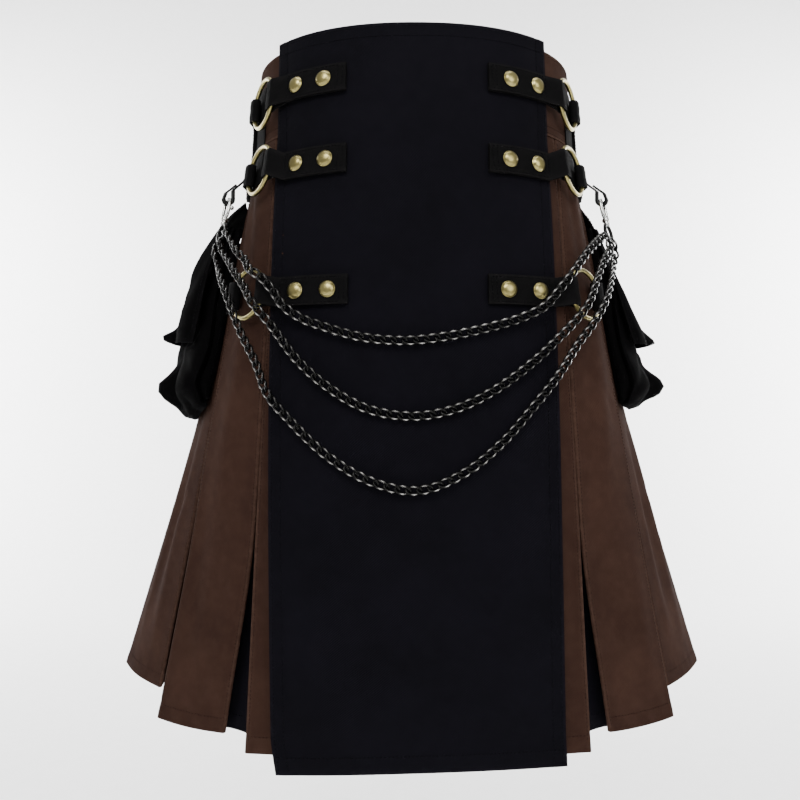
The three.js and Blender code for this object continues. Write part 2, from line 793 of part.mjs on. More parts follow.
function makeHipStraps() {
  const row = ROWS[2];
  const grid = eyedStrap(HIP_STRAP_END, HIP_STRAP_OFF, row.ringZ, STRAP_HEIGHT, ringFrame(row), 1);
  addPair("hip_strap", wall(grid, STRAP_PLY), "black");
}

// Snap hook: a closed loop on the thong, a swivel neck and the ring that gathers the chains.
function roundEndedPath(path, half, low, high) {
  path.absarc(0, low + half, half, Math.PI, 2 * Math.PI, false);
  path.absarc(0, high - half, half, 0, Math.PI, false);
  path.closePath();
  return path;
}

function makeSnapHooks() {
  const half = HOOK_WIDTH / 2;
  const outline = roundEndedPath(new THREE.Shape(), half, 0, HOOK_LENGTH);
  outline.holes.push(roundEndedPath(new THREE.Path(), half - HOOK_BAR, HOOK_BAR, HOOK_LENGTH - HOOK_BAR));
  const loop = new THREE.ExtrudeGeometry(outline, { depth: HOOK_BAR, bevelEnabled: false, curveSegments: 5 });
  loop.translate(0, -HOOK_BAR / 2, -HOOK_BAR / 2);
  const loopEnd = HOOK_LENGTH - HOOK_BAR;
  const neck = new THREE.CylinderGeometry(NECK_RADIUS, NECK_RADIUS, NECK_LENGTH, 8);
  neck.translate(0, loopEnd + NECK_LENGTH / 2 - NECK_SUNK, 0);
  const gather = ringGeometry(GATHER_RADIUS, GATHER_WIRE, GATHER_STEPS);
  gather.rotateX(Math.PI / 2);
  gather.translate(0, GATHER_DROP, 0);
  const hook = joined([loop, neck, gather]);
  hook.applyMatrix4(new THREE.Matrix4().makeBasis(HOOK_ACROSS, HOOK_WAY, HOOK_FACE).setPosition(HOOK_TOP));
  hook.computeVertexNormals();
  addPair("snap_hook", hook, "steel");
}

// Pocket: a bellows pouch on the second panel's face, open at the top, and a flap over it. A point is
// given by its share of the face's width and its stand-off.
function onPocketFace(z, share, out) {
  const a = foldPoint("secondFront", z);
  const b = foldPoint("secondRear", z);
  const bow = bowBetween("secondFront", "secondRear", z) * 4 * share * (1 - share);
  const [x, y] = add(between(a, b, share), outward(unit(add(b, a, -1))), Math.max(0, bow) + out);
  return [x, y, z];
}

const withRear = (columns) => [
  ...columns,
  ...columns.slice(0, -1).reverse().map(({ share, out }) => ({ share: 1 - share, out })),
];

function pocketWall(levels, columns) {
  const grid = levels.map(({ z, fill }) =>
    withRear(columns).map(({ share, out }) =>
      onPocketFace(z, share, POCKET_OFF + (out - POCKET_OFF) * fill),
    ),
  );
  return wall(grid);
}

function makePockets() {
  addPair("pocket", pocketWall(POUCH_LEVELS, POUCH_COLUMNS), "black");
  addPair("pocket_flap", pocketWall(FLAP_LEVELS, FLAP_COLUMNS), "black");
}

// Chains
function gatherExit(side, leave, reach) {
  const angle = THREE.MathUtils.degToRad(leave);
  return HOOK_TOP.clone()
    .addScaledVector(HOOK_WAY, GATHER_DROP + reach * Math.sin(angle))
    .addScaledVector(HOOK_ACROSS, -reach * Math.cos(angle))
    .multiply(new THREE.Vector3(side, 1, 1));
}

function makeChains() {
  const start = GATHER_RADIUS + GATHER_WIRE / 2 + CHAIN_CLEAR;
  const angles = [...Array(CHAIN_SIDES).keys()].map((i) => (2 * Math.PI * (i + 0.5)) / CHAIN_SIDES);
  const outline = new THREE.Shape(
    angles.map((angle) => new THREE.Vector2(Math.cos(angle), Math.sin(angle)).multiplyScalar(CHAIN_WIDTH / 2)),
  );
  CHAINS.forEach(({ leave, rows }, i) => {
    const line = new THREE.CatmullRomCurve3([
      gatherExit(-1, leave, start),
      gatherExit(-1, leave, start + CHAIN_LEAD),
      ...rows.map(({ s, z, out }) => new THREE.Vector3(...skinAt(s, z, out))),
      gatherExit(1, leave, start + CHAIN_LEAD),
      gatherExit(1, leave, start),
    ]);
    const steps = Math.round(line.getLength() / CHAIN_STEP);
    const tube = new THREE.ExtrudeGeometry(outline, { steps, extrudePath: line, bevelEnabled: false });
    addMesh(`chain_${i + 1}`, tube, "gunmetal");
  });
}

makeYoke();
makeSkirt();
makeInsets();
makeApron();
makeApronStraps();
makeRings();
makeStuds();
makeHipTabs();
makeHipStraps();
makeSnapHooks();
makePockets();
makeChains();

export default kilt;
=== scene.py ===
# Hybrid kilt in its worn, hollow form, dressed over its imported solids.
# Metres, +Z up, the front faces -Y. The origin is the centre of the waist opening.
import math

import bpy
import numpy as np
from mathutils import Matrix, Vector


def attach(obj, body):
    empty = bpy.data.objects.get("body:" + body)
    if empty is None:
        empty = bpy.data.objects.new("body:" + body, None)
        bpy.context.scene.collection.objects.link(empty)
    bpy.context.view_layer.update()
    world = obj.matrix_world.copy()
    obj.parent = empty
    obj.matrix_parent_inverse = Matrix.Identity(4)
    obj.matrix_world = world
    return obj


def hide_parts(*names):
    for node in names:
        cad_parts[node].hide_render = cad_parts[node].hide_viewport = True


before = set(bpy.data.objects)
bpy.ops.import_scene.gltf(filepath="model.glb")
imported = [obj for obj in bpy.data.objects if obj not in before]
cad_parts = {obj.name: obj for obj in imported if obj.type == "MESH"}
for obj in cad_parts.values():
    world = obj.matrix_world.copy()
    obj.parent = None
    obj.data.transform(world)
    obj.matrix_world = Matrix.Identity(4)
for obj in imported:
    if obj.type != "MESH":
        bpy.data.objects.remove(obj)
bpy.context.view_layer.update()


def table(columns, *rows):
    """A short table: the names of its columns, then its rows."""
    names = columns.split()
    return [dict(zip(names, row)) for row in rows]


# Camera
CAMERA_AT = (-0.018, -0.660, -0.3145)
CAMERA_TURN = math.radians(-0.38)
CAMERA_LENS = 30
SENSOR_WIDTH = 36

# The cut, as the solids have it
YOKE_TOP = -0.007
YOKE_BOTTOM = -0.085
PLEAT_TOP = -0.0854
HIP = -0.2
THIGH = -0.4
HEM = -0.592
CLOTH = 0.0014
CAD_CLOTH = 0.0016

SECTIONS = table(
    "z half front back",
    (0.0, 0.147, -0.102, 0.104), (YOKE_BOTTOM, 0.152, -0.114, 0.112),
)
SECTION_POWER = 2.2
SECTION_STEPS = 240

# Fold lines of the right half: a length along the yoke, then places in plan at hip, thigh and hem.
FOLDS = {
    "front_rear": dict(yoke=0.130, hip=(0.123, -0.096), thigh=(0.130, -0.120), hem=(0.136, -0.135)),
    "first_front": dict(yoke=0.1322, hip=(0.1247, -0.0943), thigh=(0.1318, -0.118), hem=(0.161, -0.103)),
    "first_rear": dict(yoke=0.198, hip=(0.162, -0.050), thigh=(0.189, -0.080), hem=(0.226, -0.075)),
    "second_front": dict(yoke=0.2002, hip=(0.166, -0.038), thigh=(0.203, -0.033), hem=(0.246, -0.014)),
    "second_rear": dict(yoke=0.265, hip=(0.184, 0.038), thigh=(0.243, 0.043), hem=(0.303, 0.049)),
    "third_front": dict(yoke=0.2672, hem=(0.281, 0.108)),
    "third_rear": dict(yoke=0.330, hem=(0.222, 0.162)),
    "fourth_front": dict(yoke=0.3322, hem=(0.167, 0.189)),
    "fourth_rear": dict(yoke=0.393, hem=(0.090, 0.209)),
    "back_front": dict(yoke=0.3952, hem=(0.033, 0.216)),
}
# The panels lie between folds 1 and 2, 3 and 4 and so on, the insets between 0 and 1, 2 and 3 and so on.
FOLD_NAMES = list(FOLDS)
PANEL_FOLDS = list(zip(FOLD_NAMES[1:-1:2], FOLD_NAMES[2:-1:2]))
INSET_FOLDS = list(zip(FOLD_NAMES[::2], FOLD_NAMES[1::2]))
FRONT_CENTRE = table(
    "z y",
    (YOKE_BOTTOM, -0.114), (HIP, -0.124), (THIGH, -0.134), (HEM, -0.142),
)
FRONT_POWER = 2.5
PLEAT_DEPTH = table(
    "z depth",
    (YOKE_BOTTOM, 0.0032), (HIP, 0.005), (THIGH, 0.008), (HEM, 0.012),
)
# The insets hang a little lower than their solids do.
INSET_HEM = -0.594
PLEAT_RETURN = 0.011
FOLD_RADIUS = 0.0012
INSET_BEHIND = 0.0022
HEM_BOW = 0.003
INSET_BOW = 0.006

# The apron's half width along the cloth and its stand-off.
APRON_END = -0.6
APRON = table(
    "z half off",
    (0.0, 0.122, 0.0026), (YOKE_BOTTOM, 0.122, 0.0030), (HIP, 0.120, 0.0040),
    (THIGH, 0.116, 0.0080), (APRON_END, 0.113, 0.0130),
)

# Strap rows: heights of the strap and the ring, the strap's end and its two studs along the cloth.
ROWS = table(
    "z ring_z end inner outer",
    (-0.0465, -0.050, 0.058, 0.077, 0.103), (-0.117, -0.113, 0.057, 0.0745, 0.101),
    (-0.226, -0.225, 0.055, 0.071, 0.098),
)
STRAP_HEIGHT = 0.024
STRAP_PLY = 0.0013
STRAP_LIFT = 0.0009
PLY_GAP = 0.00035
RING_RADIUS = 0.021
RING_WIRE = 0.004
RING_ARC = 0.145
RING_OFF = 0.0065
RING_LEAN = math.radians(5)
EYE_CLEAR = 0.0005
EYE_RAMP = 0.008
EYE_HALF = RING_WIRE / 2 + EYE_CLEAR + STRAP_PLY / 2
STUD_RADIUS = 0.0069
STUD_DOME = 0.0036

TAB_FRONT = 0.178
TAB_REAR = 0.213
TAB_TOP = -0.030
TAB_BOTTOM = -0.122
TAB_OFF = 0.0036
TAB_BASE_FRONT = 0.151
TAB_BASE_OFF = 0.0014
TAB_LAP = 0.009
TAB_EYE_HEIGHT = 0.020
TAB_EYE_OFF = 0.003
HIP_STRAP_END = 0.197
HIP_STRAP_OFF = 0.00225
THONG_WIDTH = 0.0062
THONG_ROOT_WIDTH = {1: 0.016, -1: 0.008}
THONG_THICK = 0.0018
THONG_CLEAR = 0.0019
THONG_ROOT_ARC = 0.205
THONG_ROOT = table(
    "z off",
    (-0.084, 0.005), (-0.093, 0.0065), (-0.102, 0.010),
)

# Snap hook: its top bar, the way it faces and its sizes.
HOOK_TOP = Vector((0.170, -0.053, -0.1325))
HOOK_OUT = Vector((0.82, -0.57, 0)).normalized()
HOOK_ALONG = Vector((0.57, 0.82, 0)).normalized()
HOOK_WAY = Vector((0.12, -0.22, -0.97)).normalized()
HOOK_FACE = HOOK_ALONG.cross(HOOK_WAY).normalized()
HOOK_ACROSS = HOOK_WAY.cross(HOOK_FACE).normalized()
HOOK_WIDTH = 0.015
HOOK_LENGTH = 0.022
HOOK_BAR = 0.0032
NECK_LENGTH = 0.008
NECK_SUNK = 0.001
GATHER_RADIUS = 0.0085
GATHER_WIRE = 0.003
GATHER_DROP = HOOK_LENGTH - HOOK_BAR + NECK_LENGTH - 2 * NECK_SUNK + GATHER_RADIUS

# Pocket on the second panel: its front half's folds across the face and its levels from the top down.
POCKET_OFF = 0.0024
POUCH_COLUMNS = table(
    "share out",
    (0.08, POCKET_OFF), (0.05, 0.008), (0.13, 0.013), (0.06, 0.018), (0.14, 0.023), (0.34, 0.025),
    (0.5, 0.022),
)
POUCH_LEVELS = table(
    "z fill",
    (-0.152, 0.5), (-0.185, 0.72), (-0.225, 0.82), (-0.262, 0.8), (-0.303, 1.1), (-0.318, 0.72),
    (-0.327, 0.4), (-0.329, 0.08),
)
FLAP_COLUMNS = table(
    "share out",
    (0.06, 0.024), (0.13, 0.029), (0.28, 0.031), (0.4, 0.029), (0.5, 0.027),
)
FLAP_LEVELS = table(
    "z fill",
    (-0.127, 0.0), (-0.140, 0.36), (-0.160, 0.6), (-0.192, 0.86), (-0.228, 0.98), (-0.262, 1.12),
)

# Chains: the angle at which each leaves its gather ring, then its route along the skin.
CHAIN_CLEAR = 0.0005
CHAIN_LEAD = 0.006
LINK_WIRE = 0.0021
LINK_HALF_LENGTH = 0.0062
LINK_HALF_WIDTH = 0.0031
LINK_TWIST = math.radians(42)
CHAINS = [
    {
        "leave": 25,
        "rows": table(
            "s z out",
            (-0.151, -0.188, 0.018), (-0.141, -0.197, 0.0175), (-0.130, -0.207, 0.023),
            (-0.120, -0.216, 0.021), (-0.112, -0.227, 0.0175), (-0.104, -0.239, 0.0165),
            (-0.091, -0.249, 0.0125), (-0.074, -0.256, 0.0115), (-0.044, -0.265, 0.0115),
            (-0.010, -0.268, 0.0115), (0.025, -0.264, 0.0115), (0.059, -0.256, 0.0115),
            (0.080, -0.249, 0.0125), (0.098, -0.239, 0.0165), (0.110, -0.225, 0.0175),
            (0.122, -0.209, 0.020), (0.133, -0.196, 0.019), (0.145, -0.185, 0.018),
        ),
    },
    {
        "leave": 76,
        "rows": table(
            "s z out",
            (-0.163, -0.194, 0.018), (-0.150, -0.208, 0.018), (-0.138, -0.221, 0.020),
            (-0.128, -0.235, 0.021), (-0.116, -0.254, 0.013), (-0.095, -0.281, 0.0125),
            (-0.071, -0.303, 0.0125), (-0.040, -0.321, 0.0125), (-0.005, -0.327, 0.0125),
            (0.029, -0.321, 0.0125), (0.061, -0.305, 0.0125), (0.094, -0.280, 0.0125),
            (0.110, -0.265, 0.0135), (0.125, -0.250, 0.015), (0.136, -0.235, 0.019),
            (0.147, -0.215, 0.0185), (0.162, -0.194, 0.018),
        ),
    },
    {
        "leave": 127,
        "rows": table(
            "s z out",
            (-0.181, -0.194, 0.021), (-0.168, -0.208, 0.021), (-0.158, -0.224, 0.020),
            (-0.151, -0.243, 0.016), (-0.145, -0.261, 0.0105), (-0.132, -0.284, 0.0085),
            (-0.119, -0.309, 0.012), (-0.101, -0.328, 0.014), (-0.069, -0.358, 0.0145),
            (-0.034, -0.378, 0.015), (0.000, -0.384, 0.015), (0.034, -0.371, 0.0145),
            (0.064, -0.347, 0.014), (0.088, -0.320, 0.0135), (0.110, -0.294, 0.0135),
            (0.132, -0.268, 0.009), (0.146, -0.249, 0.014), (0.157, -0.228, 0.020),
            (0.168, -0.209, 0.021), (0.181, -0.194, 0.021),
        ),
    },
]

# Sewing
STITCH_PITCH = 0.0031
STITCH_LENGTH = 0.0024
STITCH_THREAD = 0.00055
EDGE_STITCH = 0.0028
HEM_STITCH = 0.0125
LINE_STEP = 0.004
SEAM_START = 0.003
SEAM_END = 0.002
FINE_STEP = 0.003
SIDES = [(1, "right"), (-1, "left")]

# Where each kind of piece starts its random draws
APRON_SEED = 3
YOKE_SEED = 7
FRONT_SEED = 11
BACK_SEED = 21
PANEL_SEED = 30
TAB_SEED = 60
POUCH_SEED = 80
FLAP_SEED = 90
INSET_SEED = 100

# How high the broad swells of each kind of piece are
PANEL_SWELL = 0.0016
INSET_SWELL = 0.0012
YOKE_SWELL = 0.0007
APRON_SWELL = 0.0012
TAB_SWELL = 0.0004
POCKET_SWELL = 0.0030


# Form of the cut


def row_at(rows, z):
    """The row of a table at a height, each column run smoothly through the rows around it."""
    heights = [row["z"] for row in rows]
    z = min(heights[0], max(heights[-1], z))
    k = 0
    while k < len(rows) - 2 and z < heights[k + 1]:
        k += 1
    f = (heights[k] - z) / (heights[k] - heights[k + 1])
    found = {key: smooth_value([row[key] for row in rows], heights, k, f) for key in rows[0] if key != "z"}
    return {"z": z, **found}


def smooth_value(values, places, k, f):
    """A cubic between rows k and k + 1, whose slopes don't overshoot."""

    def slope(i):
        return (values[i + 1] - values[i]) / (places[i + 1] - places[i])

    def tangent(i):
        if i == 0:
            return slope(0)
        if i == len(values) - 1:
            return slope(i - 1)
        before, after = slope(i - 1), slope(i)
        if before * after <= 0:
            return 0.0
        return 2 * before * after / (before + after)

    span = places[k + 1] - places[k]
    a, b = values[k], values[k + 1]
    ta, tb = tangent(k) * span, tangent(k + 1) * span
    return (
        a * (1 + 2 * f) * (1 - f) ** 2
        + ta * f * (1 - f) ** 2
        + b * f * f * (3 - 2 * f)
        + tb * f * f * (f - 1)
    )


def running_length(points):
    steps = np.linalg.norm(np.diff(points, axis=0), axis=1)
    return np.concatenate([[0], np.cumsum(steps)])


def along_path(s, run, points):
    """The place at a length s of a path, given its points and their running length."""
    return np.array([np.interp(s, run, column) for column in points.T])


class Line:
    """A line of plan points with its running length."""

    def __init__(self, points):
        self.points = np.array(points, float)
        self.run = running_length(self.points)
        self.total = self.run[-1]

    def at(self, s):
        return along_path(s, self.run, self.points)


def unit(v):
    return v / np.linalg.norm(v)


def outward(u):
    return np.array([u[1], -u[0]])


line_cache = {}


def section_line(z):
    key = ("section", round(z, 6))
    if key not in line_cache:
        s = row_at(SECTIONS, z)
        angle = np.linspace(0, math.pi, SECTION_STEPS + 1)
        across = np.sin(angle).clip(0) ** (2 / SECTION_POWER)
        along = np.abs(np.cos(angle)) ** (2 / SECTION_POWER)
        depth = np.where(angle < math.pi / 2, s["front"], s["back"])
        line_cache[key] = Line(np.stack([s["half"] * across, depth * along], 1))
    return line_cache[key]


YOKE_LINE = section_line(YOKE_BOTTOM)


def fold_point(name, z):
    fold = FOLDS[name]
    top = YOKE_LINE.at(fold["yoke"])
    stops = [{"z": YOKE_BOTTOM, "x": top[0], "y": top[1]}]
    for place, height in (("hip", HIP), ("thigh", THIGH), ("hem", HEM)):
        if place in fold:
            stops.append({"z": height, "x": fold[place][0], "y": fold[place][1]})
    row = row_at(stops, z)
    return np.array([row["x"], row["y"]])


def drop(z):
    """How far down the skirt a height is, from 0 at the yoke to 1 at the hem."""
    return (YOKE_BOTTOM - z) / (YOKE_BOTTOM - HEM)


def bow_between(front, rear, z):
    a = YOKE_LINE.at(FOLDS[front]["yoke"])
    b = YOKE_LINE.at(FOLDS[rear]["yoke"])
    middle = YOKE_LINE.at((FOLDS[front]["yoke"] + FOLDS[rear]["yoke"]) / 2)
    yoke_bow = np.linalg.norm(middle - (a + b) / 2)
    return yoke_bow + (HEM_BOW - yoke_bow) * drop(z)


FACE_STEPS = 28


def face_line(a, b, bow, steps=FACE_STEPS):
    out = outward(unit(b - a))
    return [a + (b - a) * f + out * bow * 4 * f * (1 - f) for f in np.linspace(0, 1, steps + 1)]


FRONT_STEPS = 30


def front_line(z):
    fold = fold_point("front_rear", z)
    centre = row_at(FRONT_CENTRE, z)["y"]
    share = np.linspace(0, 1, FRONT_STEPS + 1)
    return [np.array([fold[0] * f, centre + (fold[1] - centre) * f**FRONT_POWER]) for f in share]


def panel_line(front, rear, z, steps=FACE_STEPS):
    return face_line(fold_point(front, z), fold_point(rear, z), bow_between(front, rear, z), steps)


def back_line(z, steps=FACE_STEPS):
    fold = fold_point("back_front", z)
    bow = YOKE_LINE.points[-1][1] - fold_point("back_front", YOKE_BOTTOM)[1]
    return face_line(fold, fold * (-1, 1), bow + (HEM_BOW - bow) * drop(z), steps)


def skin_line(z):
    """The outer skin of the right half: the section on the yoke, the faces below it."""
    if z > PLEAT_TOP:
        return section_line(z)
    z = max(z, HEM)
    key = ("skin", round(z, 6))
    if key not in line_cache:
        points = list(front_line(z))
        for front, rear in PANEL_FOLDS:
            points += panel_line(front, rear, z, 4)
        line_cache[key] = Line(points)
    return line_cache[key]


SKIN_SPAN = 0.007


def skin_point(line, s, out=0.0):
    side = -1 if s < 0 else 1
    here = line.at(abs(s))
    before = line.at(abs(s) - SKIN_SPAN) if abs(s) >= SKIN_SPAN else np.array([-SKIN_SPAN, here[1]])
    after = line.at(abs(s) + SKIN_SPAN)
    point = here + outward(unit(after - before)) * out
    return np.array([side * point[0], point[1]])


def skin_at(s, z, out=0.0):
    x, y = skin_point(skin_line(z), s, out)
    return np.array([x, y, z])


# Cloth


class Cloth:
    """A grid of points, rows from the top down and columns from left to right as seen from outside.

    u is the running length across a row, from its middle, and v the length down from the top."""

    def __init__(self, grid, closed=False):
        self.grid = np.array(grid, float)
        self.closed = closed
        across = np.linalg.norm(np.diff(self.grid, axis=1), axis=2)
        rows = self.grid.shape[0]
        self.u = np.concatenate([np.zeros((rows, 1)), np.cumsum(across, axis=1)], axis=1)
        self.width = self.u[:, -1].copy()
        self.u -= self.width[:, None] / 2
        down = np.linalg.norm(np.diff(self.grid, axis=0), axis=2).mean(axis=1)
        self.v = np.concatenate([[0], np.cumsum(down)])
        self.length = self.v[-1]
        self.edge = np.minimum(self.u + self.width[:, None] / 2, self.width[:, None] / 2 - self.u)

    def normals(self):
        if self.closed:
            ring = self.grid[:, :-1]
            across = np.roll(ring, -1, axis=1) - np.roll(ring, 1, axis=1)
            across = np.concatenate([across, across[:, :1]], axis=1)
        else:
            across = np.gradient(self.grid, axis=1)
        down = np.gradient(self.grid, axis=0)
        normal = np.cross(down, across)
        length = np.linalg.norm(normal, axis=2, keepdims=True)
        return normal / np.maximum(length, 1e-12)

    def raise_by(self, relief):
        """Moves the cloth out by a field over its own u and v, and keeps its new normals."""
        self.grid = self.grid + self.normals() * relief[:, :, None]
        self.normal_grid = self.normals()

    def lengths(self):
        """u and v of every point, as two grids."""
        return self.u, np.repeat(self.v[:, None], self.u.shape[1], axis=1)

    def at(self, row, column):
        """A point of the finished cloth and its normal, at fractions of a row and a column."""
        r = min(self.grid.shape[0] - 1.001, max(0, row))
        c = min(self.grid.shape[1] - 1.001, max(0, column))
        i, j = int(r), int(c)
        f, g = r - i, c - j
        weights = ((1 - f) * (1 - g), (1 - f) * g, f * (1 - g), f * g)
        corners = ((i, j), (i, j + 1), (i + 1, j), (i + 1, j + 1))
        point = sum(w * self.grid[a, b] for w, (a, b) in zip(weights, corners))
        normal = sum(w * self.normal_grid[a, b] for w, (a, b) in zip(weights, corners))
        return point, unit(normal)

    def row_of(self, v):
        return float(np.interp(v, self.v, np.arange(len(self.v))))

    def column_of(self, row, u):
        k = int(round(min(len(self.v) - 1, max(0, row))))
        return float(np.interp(u, self.u[k], np.arange(self.u.shape[1])))

    def line_down(self, from_edge, side, v0, v1):
        """Points down the cloth, at a distance from its left (-1) or right (1) edge."""
        line = []
        for v in np.arange(v0, v1, LINE_STEP):
            row = self.row_of(v)
            width = float(np.interp(v, self.v, self.width))
            u = side * (width / 2 - from_edge)
            line.append(self.at(row, self.column_of(row, u)))
        return line

    def line_across(self, v, u0=None, u1=None, step=LINE_STEP):
        row = self.row_of(v)
        width = float(np.interp(v, self.v, self.width))
        u0 = -width / 2 if u0 is None else u0
        u1 = width / 2 if u1 is None else u1
        return [self.at(row, self.column_of(row, u)) for u in np.arange(u0, u1, step)]

    def cut(self):
        """Width, length and area of the flat piece."""
        middle = (self.width[1:] + self.width[:-1]) / 2
        area = float((middle * np.diff(self.v)).sum())
        return (float(self.width.max()), float(self.length)), area


def waves(u, v, seed, height, lengths=(0.16, 0.09)):
    """Broad uneven swells, a few sines each way."""
    rng = np.random.default_rng(seed)
    field = np.zeros_like(u)
    for length in lengths:
        for _ in range(3):
            turn = rng.uniform(-0.5, 0.5)
            phase = rng.uniform(0, 2 * math.pi)
            sway = rng.uniform(0.35, 0.6)
            along = u * math.cos(turn) + v * math.sin(turn) * sway
            field += np.sin(2 * math.pi * along / (length * rng.uniform(0.8, 1.3)) + phase) * length
    return height * field / (3 * sum(lengths))


def crease(u, v, start, end, width, height, bend=0.0):
    """One soft ridge (height over 0) or trough from start to end, each a (u, v) place on the cloth."""
    start, end = np.array(start), np.array(end)
    way = end - start
    length = np.linalg.norm(way)
    way = way / length
    du, dv = u - start[0], v - start[1]
    along = (du * way[0] + dv * way[1]) / length
    side = du * -way[1] + dv * way[0] - bend * 4 * along * (1 - along)
    inside = np.clip(along, 0, 1)
    taper = np.sin(math.pi * inside) ** 0.7 * ((along > 0) & (along < 1))
    return height * taper * np.exp(-((side / width) ** 2))


def pucker(along, edge, seed, at=EDGE_STITCH, reach=0.005, height=0.00035, pitch=0.011):
    """Small pulls of the thread beside a stitched line."""
    rng = np.random.default_rng(seed)
    pull = np.zeros_like(along)
    for _ in range(3):
        length = pitch * rng.uniform(0.75, 1.5)
        pull += np.sin(2 * math.pi * along / length + rng.uniform(0, 6))
    return height * pull / 2 * np.exp(-(((edge - at) / reach) ** 2))


HEM_STEP = 0.0008
GROOVE_DEPTH = 0.0004
GROOVE_HALF = 0.0011


def hem_relief(v, length, depth=HEM_STITCH, height=0.0005):
    """A turned hem stands a little proud, with a groove along its stitches."""
    up = length - v - depth
    proud = height / (1 + np.exp(np.clip(up / HEM_STEP, -30, 30)))
    return proud - GROOVE_DEPTH * np.exp(-((up / GROOVE_HALF) ** 2))


def select_only(obj):
    bpy.ops.object.select_all(action="DESELECT")
    obj.select_set(True)
    bpy.context.view_layer.objects.active = obj


def apply_modifiers(obj):
    select_only(obj)
    for modifier in list(obj.modifiers):
        bpy.ops.object.modifier_apply(modifier=modifier.name)


def edit_whole():
    """Opens the active mesh for editing, all of it selected."""
    bpy.ops.object.mode_set(mode="EDIT")
    bpy.ops.mesh.select_all(action="SELECT")


def face_outward():
    edit_whole()
    bpy.ops.mesh.normals_make_consistent(inside=False)
    bpy.ops.object.mode_set(mode="OBJECT")


def shift_mesh(x, y, z):
    edit_whole()
    bpy.ops.transform.translate(value=(x, y, z))
    bpy.ops.object.mode_set(mode="OBJECT")


def mesh_object(name, points, faces, material):
    """A smooth-shaded object of points and faces."""
    mesh = bpy.data.meshes.new(name)
    mesh.from_pydata(points, [], faces)
    mesh.polygons.foreach_set("use_smooth", [True] * len(mesh.polygons))
    mesh.materials.append(material)
    obj = bpy.data.objects.new(name, mesh)
    bpy.context.collection.objects.link(obj)
    return obj


def point_values(obj, name, values):
    """A value for each point, which a material reads by its name."""
    obj.data.attributes.new(name, "FLOAT", "POINT").data.foreach_set("value", values)


def copies(name, blocks, faces, material):
    """One mesh of many copies of a form, each a block of its placed points."""
    whole = [tuple(i + k * len(block) for i in face) for k, block in enumerate(blocks) for face in faces]
    return mesh_object(name, np.concatenate(blocks).tolist(), whole, material)


CLOTH_SMOOTH = math.radians(50)


def cloth_mesh(name, cloth, material, thickness=CLOTH):
    """The cloth as a thin closed shell, with its u and v as a map in metres and its edge distance kept."""
    grid = cloth.grid[:, :-1] if cloth.closed else cloth.grid
    rows, columns = grid.shape[:2]
    spans = columns if cloth.closed else columns - 1
    r, c = np.meshgrid(np.arange(rows - 1), np.arange(spans), indexing="ij")
    near = r * columns + c
    far = r * columns + (c + 1) % columns
    faces = np.stack([near, near + columns, far + columns, far], axis=2).reshape(-1, 4)
    obj = mesh_object(name, grid.reshape(-1, 3).tolist(), faces.tolist(), material)
    fields = cloth.lengths()
    corners = ((0, 0), (1, 0), (1, 1), (0, 1))
    spots = [field[i : i + rows - 1, j : j + spans] for i, j in corners for field in fields]
    layer = obj.data.uv_layers.new(name="UVMap")
    layer.data.foreach_set("uv", np.stack(spots, axis=2).reshape(-1).astype(np.float32))
    point_values(obj, "edge", cloth.edge[:, :columns].reshape(-1).astype(np.float32))
    shell = obj.modifiers.new("Shell", "SOLIDIFY")
    shell.thickness = thickness
    shell.offset = 0.0
    shell.use_even_offset = False
    apply_modifiers(obj)
    bpy.ops.object.shade_smooth_by_angle(angle=CLOTH_SMOOTH)
    return obj


def stitch_template():
    """One stitch: a low spindle along X, out is +Z."""
    half, thick = STITCH_LENGTH / 2, STITCH_THREAD
    points = [(-half, 0, -thick * 0.3)]
    for x in (-half * 0.5, half * 0.5):
        for k in range(4):
            angle = math.pi / 4 + k * math.pi / 2
            points.append((x, thick / 2 * math.cos(angle), thick * 0.35 + thick / 2 * math.sin(angle)))
    points.append((half, 0, -thick * 0.3))
    faces = [(0, 1 + (k + 1) % 4, 1 + k) for k in range(4)]
    faces += [(1 + k, 1 + (k + 1) % 4, 5 + (k + 1) % 4, 5 + k) for k in range(4)]
    faces += [(9, 5 + k, 5 + (k + 1) % 4) for k in range(4)]
    return np.array(points), faces


STITCH_LOOK = 0.001


def stitches(name, rows, material, lift):
    """Joined stitches along rows of (point, normal) pairs."""
    template, faces = stitch_template()
    blocks = []
    for row in rows:
        spots, normals = (np.array(column) for column in zip(*row))
        run = running_length(spots)
        for s in np.arange(STITCH_PITCH / 2, run[-1] - STITCH_PITCH / 2, STITCH_PITCH):
            ahead = along_path(s + STITCH_LOOK, run, spots)
            behind = along_path(s - STITCH_LOOK, run, spots)
            normal = unit(along_path(s, run, normals))
            way = unit(ahead - behind)
            side = unit(np.cross(normal, way))
            turn = np.stack([way, side, np.cross(way, side)])
            blocks.append(template @ turn + along_path(s, run, spots) + normal * lift)
    return copies(name, blocks, faces, material)


def keep(obj, slot, *nodes):
    """Every piece rides on the one body and may stand for solids, which it hides; slot is not used."""
    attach(obj, "root")
    if nodes:
        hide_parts(*nodes)
    return obj


def sew(name, rows, slot, lift=CLOTH / 2):
    yarn = BROWN_THREAD if slot == "brown_cloth" else BLACK_THREAD
    return keep(stitches(name, rows, yarn, lift), slot)


def state_sheet(cloth, pieces):
    """Works out a sheet's flat cut and its area, and keeps neither; pieces is not used."""
    flat, area = cloth.cut()


# Finishes


def new_material(name):
    material = bpy.data.materials.new(name)
    material.use_nodes = True
    tree = material.node_tree
    return material, tree, tree.nodes["Principled BSDF"]


